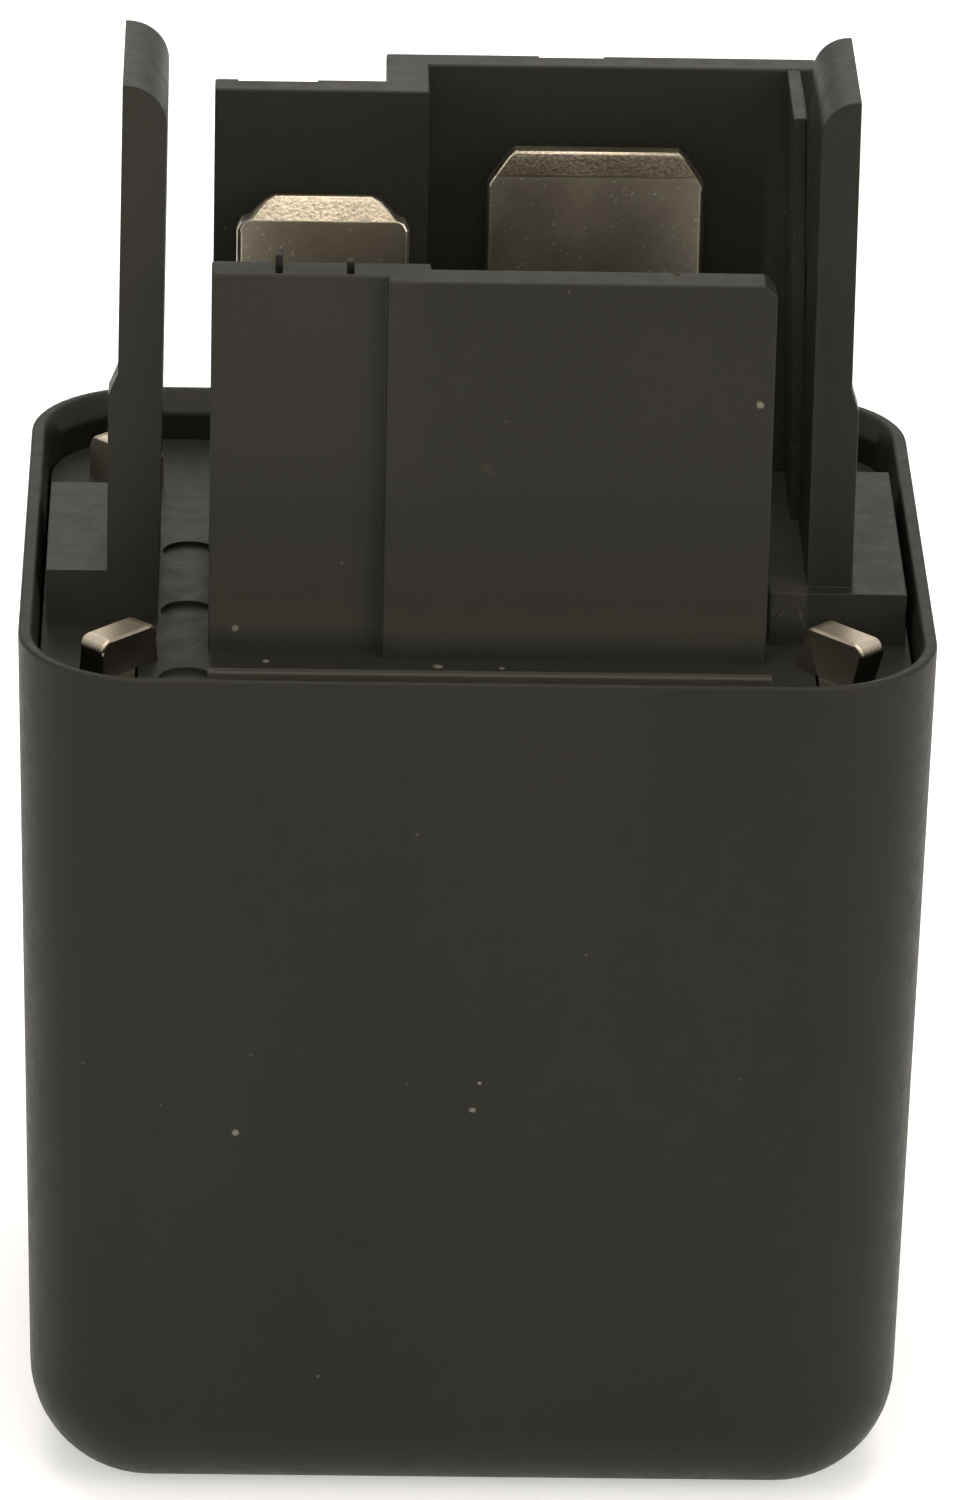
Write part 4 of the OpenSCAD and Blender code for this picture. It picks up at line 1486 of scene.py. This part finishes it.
@dataclass
class Studio:
    """Camera, lamps, floor and white surroundings."""

    yaw: float = 1.437
    pitch: float = 23.0
    roll: float = 1.259
    distance: float = 368.926
    target: Triple = (0.390, 0.0, 24.774)
    lens: float = 372.80
    sensor: float = 36.0
    clip: Span = (0.02, 20.0)
    ambient: float = 0.24
    ambient_tone: Colour = (1.0, 0.985, 0.96)
    aim: Triple = (0.0, 0.0, 28.0)
    lamps: Tuple[Tuple[str, Triple, float, float], ...] = (
        ("key", (0.0, -360.0, 520.0), 460.0, 0.93),
        ("camera_fill", (0.0, -350.0, 175.0), 130.0, 0.2),
        ("overhead", (0.0, 40.0, 620.0), 460.0, 2.0),
        ("behind", (0.0, 520.0, 330.0), 420.0, 0.45),
        ("left_fill", (-520.0, -420.0, 260.0), 380.0, 1.15),
        ("right_fill", (520.0, -420.0, 260.0), 380.0, 2.1))
    lamp_tone: Colour = (1.0, 0.94, 0.84)
    floor_size: float = 6.0  # metres, as the next two
    backdrop: float = 3.0
    fold: float = 1.2
    paper: Colour = (0.92, 0.92, 0.92)
    glow: float = 0.42

    def camera(self) -> None:
        """Places the camera by its angles round the target."""
        yaw, pitch, roll = (math.radians(a) for a in (self.yaw, self.pitch, self.roll))
        ahead = Vector((math.sin(yaw) * math.cos(pitch), math.cos(yaw) * math.cos(pitch),
                        -math.sin(pitch)))
        right = Vector((math.cos(yaw), -math.sin(yaw), 0.0))
        up = right.cross(ahead)
        turned = right * math.cos(roll) + up * math.sin(roll)
        raised = up * math.cos(roll) - right * math.sin(roll)
        place = mm(*self.target) - ahead * self.distance * MM
        data = bpy.data.cameras.new("camera")
        data.sensor_fit = "HORIZONTAL"
        data.sensor_width = self.sensor
        data.lens = self.lens
        data.clip_start, data.clip_end = self.clip
        camera = bpy.data.objects.new("camera", data)
        bpy.context.scene.collection.objects.link(camera)
        turn = Matrix((turned, raised, -ahead)).transposed()
        camera.matrix_world = Matrix.Translation(place) @ turn.to_4x4()
        bpy.context.scene.camera = camera

    def lights(self) -> None:
        """Adds the soft lamps, each aimed at the relay."""
        for name, place, size, power in self.lamps:
            data = bpy.data.lights.new(name, "AREA")
            data.shape = "DISK"
            data.size = size * MM
            data.energy = power
            data.color = self.lamp_tone
            lamp = bpy.data.objects.new(name, data)
            bpy.context.scene.collection.objects.link(lamp)
            lamp.location = mm(*place)
            aim = mm(*self.aim) - lamp.location
            lamp.rotation_euler = aim.to_track_quat("-Z", "Y").to_euler()

    @staticmethod
    def seen(nodes: bpy.types.Nodes, links: bpy.types.NodeLinks) -> Socket:
        """Builds the share of rays that see the backdrop white.

        Args:
            nodes: Nodes of the tree.
            links: Links of the tree.

        Returns:
            1 for those rays, 0 for the rest.
        """
        path = nodes.new("ShaderNodeLightPath")
        total = path.outputs[Rays.CAMERA.value]
        for ray in (Rays.GLOSSY, Rays.TRANSMISSION):
            join = nodes.new("ShaderNodeMath")
            join.operation = "MAXIMUM"
            links.new(total, join.inputs[0])
            links.new(path.outputs[ray.value], join.inputs[1])
            total = join.outputs["Value"]
        return total

    def world(self) -> None:
        """Lights the scene softly and shows white to the camera and to glossy surfaces."""
        world = bpy.data.worlds.new("surroundings")
        world.use_nodes = True
        nodes, links = world.node_tree.nodes, world.node_tree.links
        nodes.clear()
        mix = nodes.new("ShaderNodeMixShader")
        links.new(self.seen(nodes, links), mix.inputs["Fac"])
        for place, tone, strength in ((1, self.ambient_tone, self.ambient),
                                      (2, (1.0, 1.0, 1.0), 1.0)):
            light = nodes.new("ShaderNodeBackground")
            light.inputs["Color"].default_value = (*tone, 1.0)
            light.inputs["Strength"].default_value = strength
            links.new(light.outputs["Background"], mix.inputs[place])
        output = nodes.new("ShaderNodeOutputWorld")
        links.new(mix.outputs["Shader"], output.inputs["Surface"])
        bpy.context.scene.world = world

    def raise_back_edge(self, floor: Piece) -> None:
        """Extrudes the floor's back edge upwards and rounds the fold.

        Args:
            floor: The floor plane.
        """
        back = self.floor_size / 2 - 0.1
        Bench.select(floor, Pick.EDGES, lambda p: all(v.y > back for v in p))
        bpy.ops.mesh.extrude_region_move(
            TRANSFORM_OT_translate={"value": (0.0, 0.0, self.backdrop)})
        Bench.select(floor, Pick.EDGES, lambda p: all(v.y > back and v.z < 0.1 for v in p))
        bpy.ops.mesh.bevel(offset=self.fold, segments=12, affect="EDGES")
        bpy.ops.object.mode_set(mode="OBJECT")

    def floor(self) -> None:
        """Lays a white floor that runs up behind into a backdrop and keeps the shadow."""
        Bench.clear()
        bpy.ops.mesh.primitive_plane_add(size=self.floor_size, location=(0.0, 0.0, 0.0))
        floor = Bench.placed("studio_floor")
        self.raise_back_edge(floor)
        tree = Tree("studio_paper")
        glow = tree.math("MULTIPLY", self.seen(tree.nodes, tree.links), self.glow)
        tree.feed(tree.shader, Base_Color=self.paper, Roughness=0.9, Specular_IOR_Level=0.0,
                  Emission_Color=(1.0, 1.0, 1.0), Emission_Strength=glow)
        floor.data.materials.append(tree.material)

    def build(self) -> None:
        """Sets up the whole studio."""
        bpy.context.scene.view_settings.view_transform = "Standard"
        self.camera()
        self.lights()
        self.world()
        self.floor()


@dataclass
class Relay:
    """The whole relay: built pieces, and CAD nodes that keep their own mesh."""

    finishes: Finishes
    shown: List[str] = field(default_factory=list)

    def install(self, piece: Piece, node: str, slot: str) -> None:
        """Puts a built piece in the place of a CAD node.

        Args:
            piece: The built piece.
            node: The CAD node that it stands for.
            slot: Its material slot.
        """
        self.finishes.dress(piece, slot)
        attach(piece, "relay")
        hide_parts(node)
        self.shown.append(piece.name)
        LOG.info("built %s: %d faces", piece.name, len(piece.data.polygons))

    def dress_nodes(self) -> None:
        """Gives each CAD node that stays the finish of its slot."""
        for part in frame["record"]["subparts"]:
            obj = frame["nodes"][part["node"]]
            self.finishes.dress(obj, part["material_slot"])
            LOG.info("dressed %s as %s", part["node"], part["material_slot"])

    def build(self) -> None:
        """Builds and installs every piece."""
        self.dress_nodes()
        self.install(Cap().build(), "cap", "black_plastic_cap")
        self.install(BaseMoulding().build(), "base", "black_plastic_base")
        self.install(Yoke().build(), "yoke", "plated_steel")
        for node, row in (("coil_terminal_front", Row.FRONT), ("coil_terminal_rear", Row.REAR)):
            self.install(CoilTerminal(node, -5.7, 6.3, row).build(), node, "tinned_brass")
        for node, row in (("load_terminal_front", Row.FRONT), ("load_terminal_rear", Row.REAR)):
            self.install(LoadTerminal(node, 4.32, 8.0, row).build(), node, "tinned_brass")


def write_sizes() -> None:
    """Updates the view layer."""
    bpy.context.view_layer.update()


def main() -> None:
    """Builds the relay and its studio."""
    logging.basicConfig(level=logging.INFO, format="%(name)s: %(message)s")
    relay = Relay(Finishes())
    relay.build()
    Studio().build()
    write_sizes()
    LOG.info("built pieces: %s", ", ".join(relay.shown))


if __name__ == "__main__":
    main()
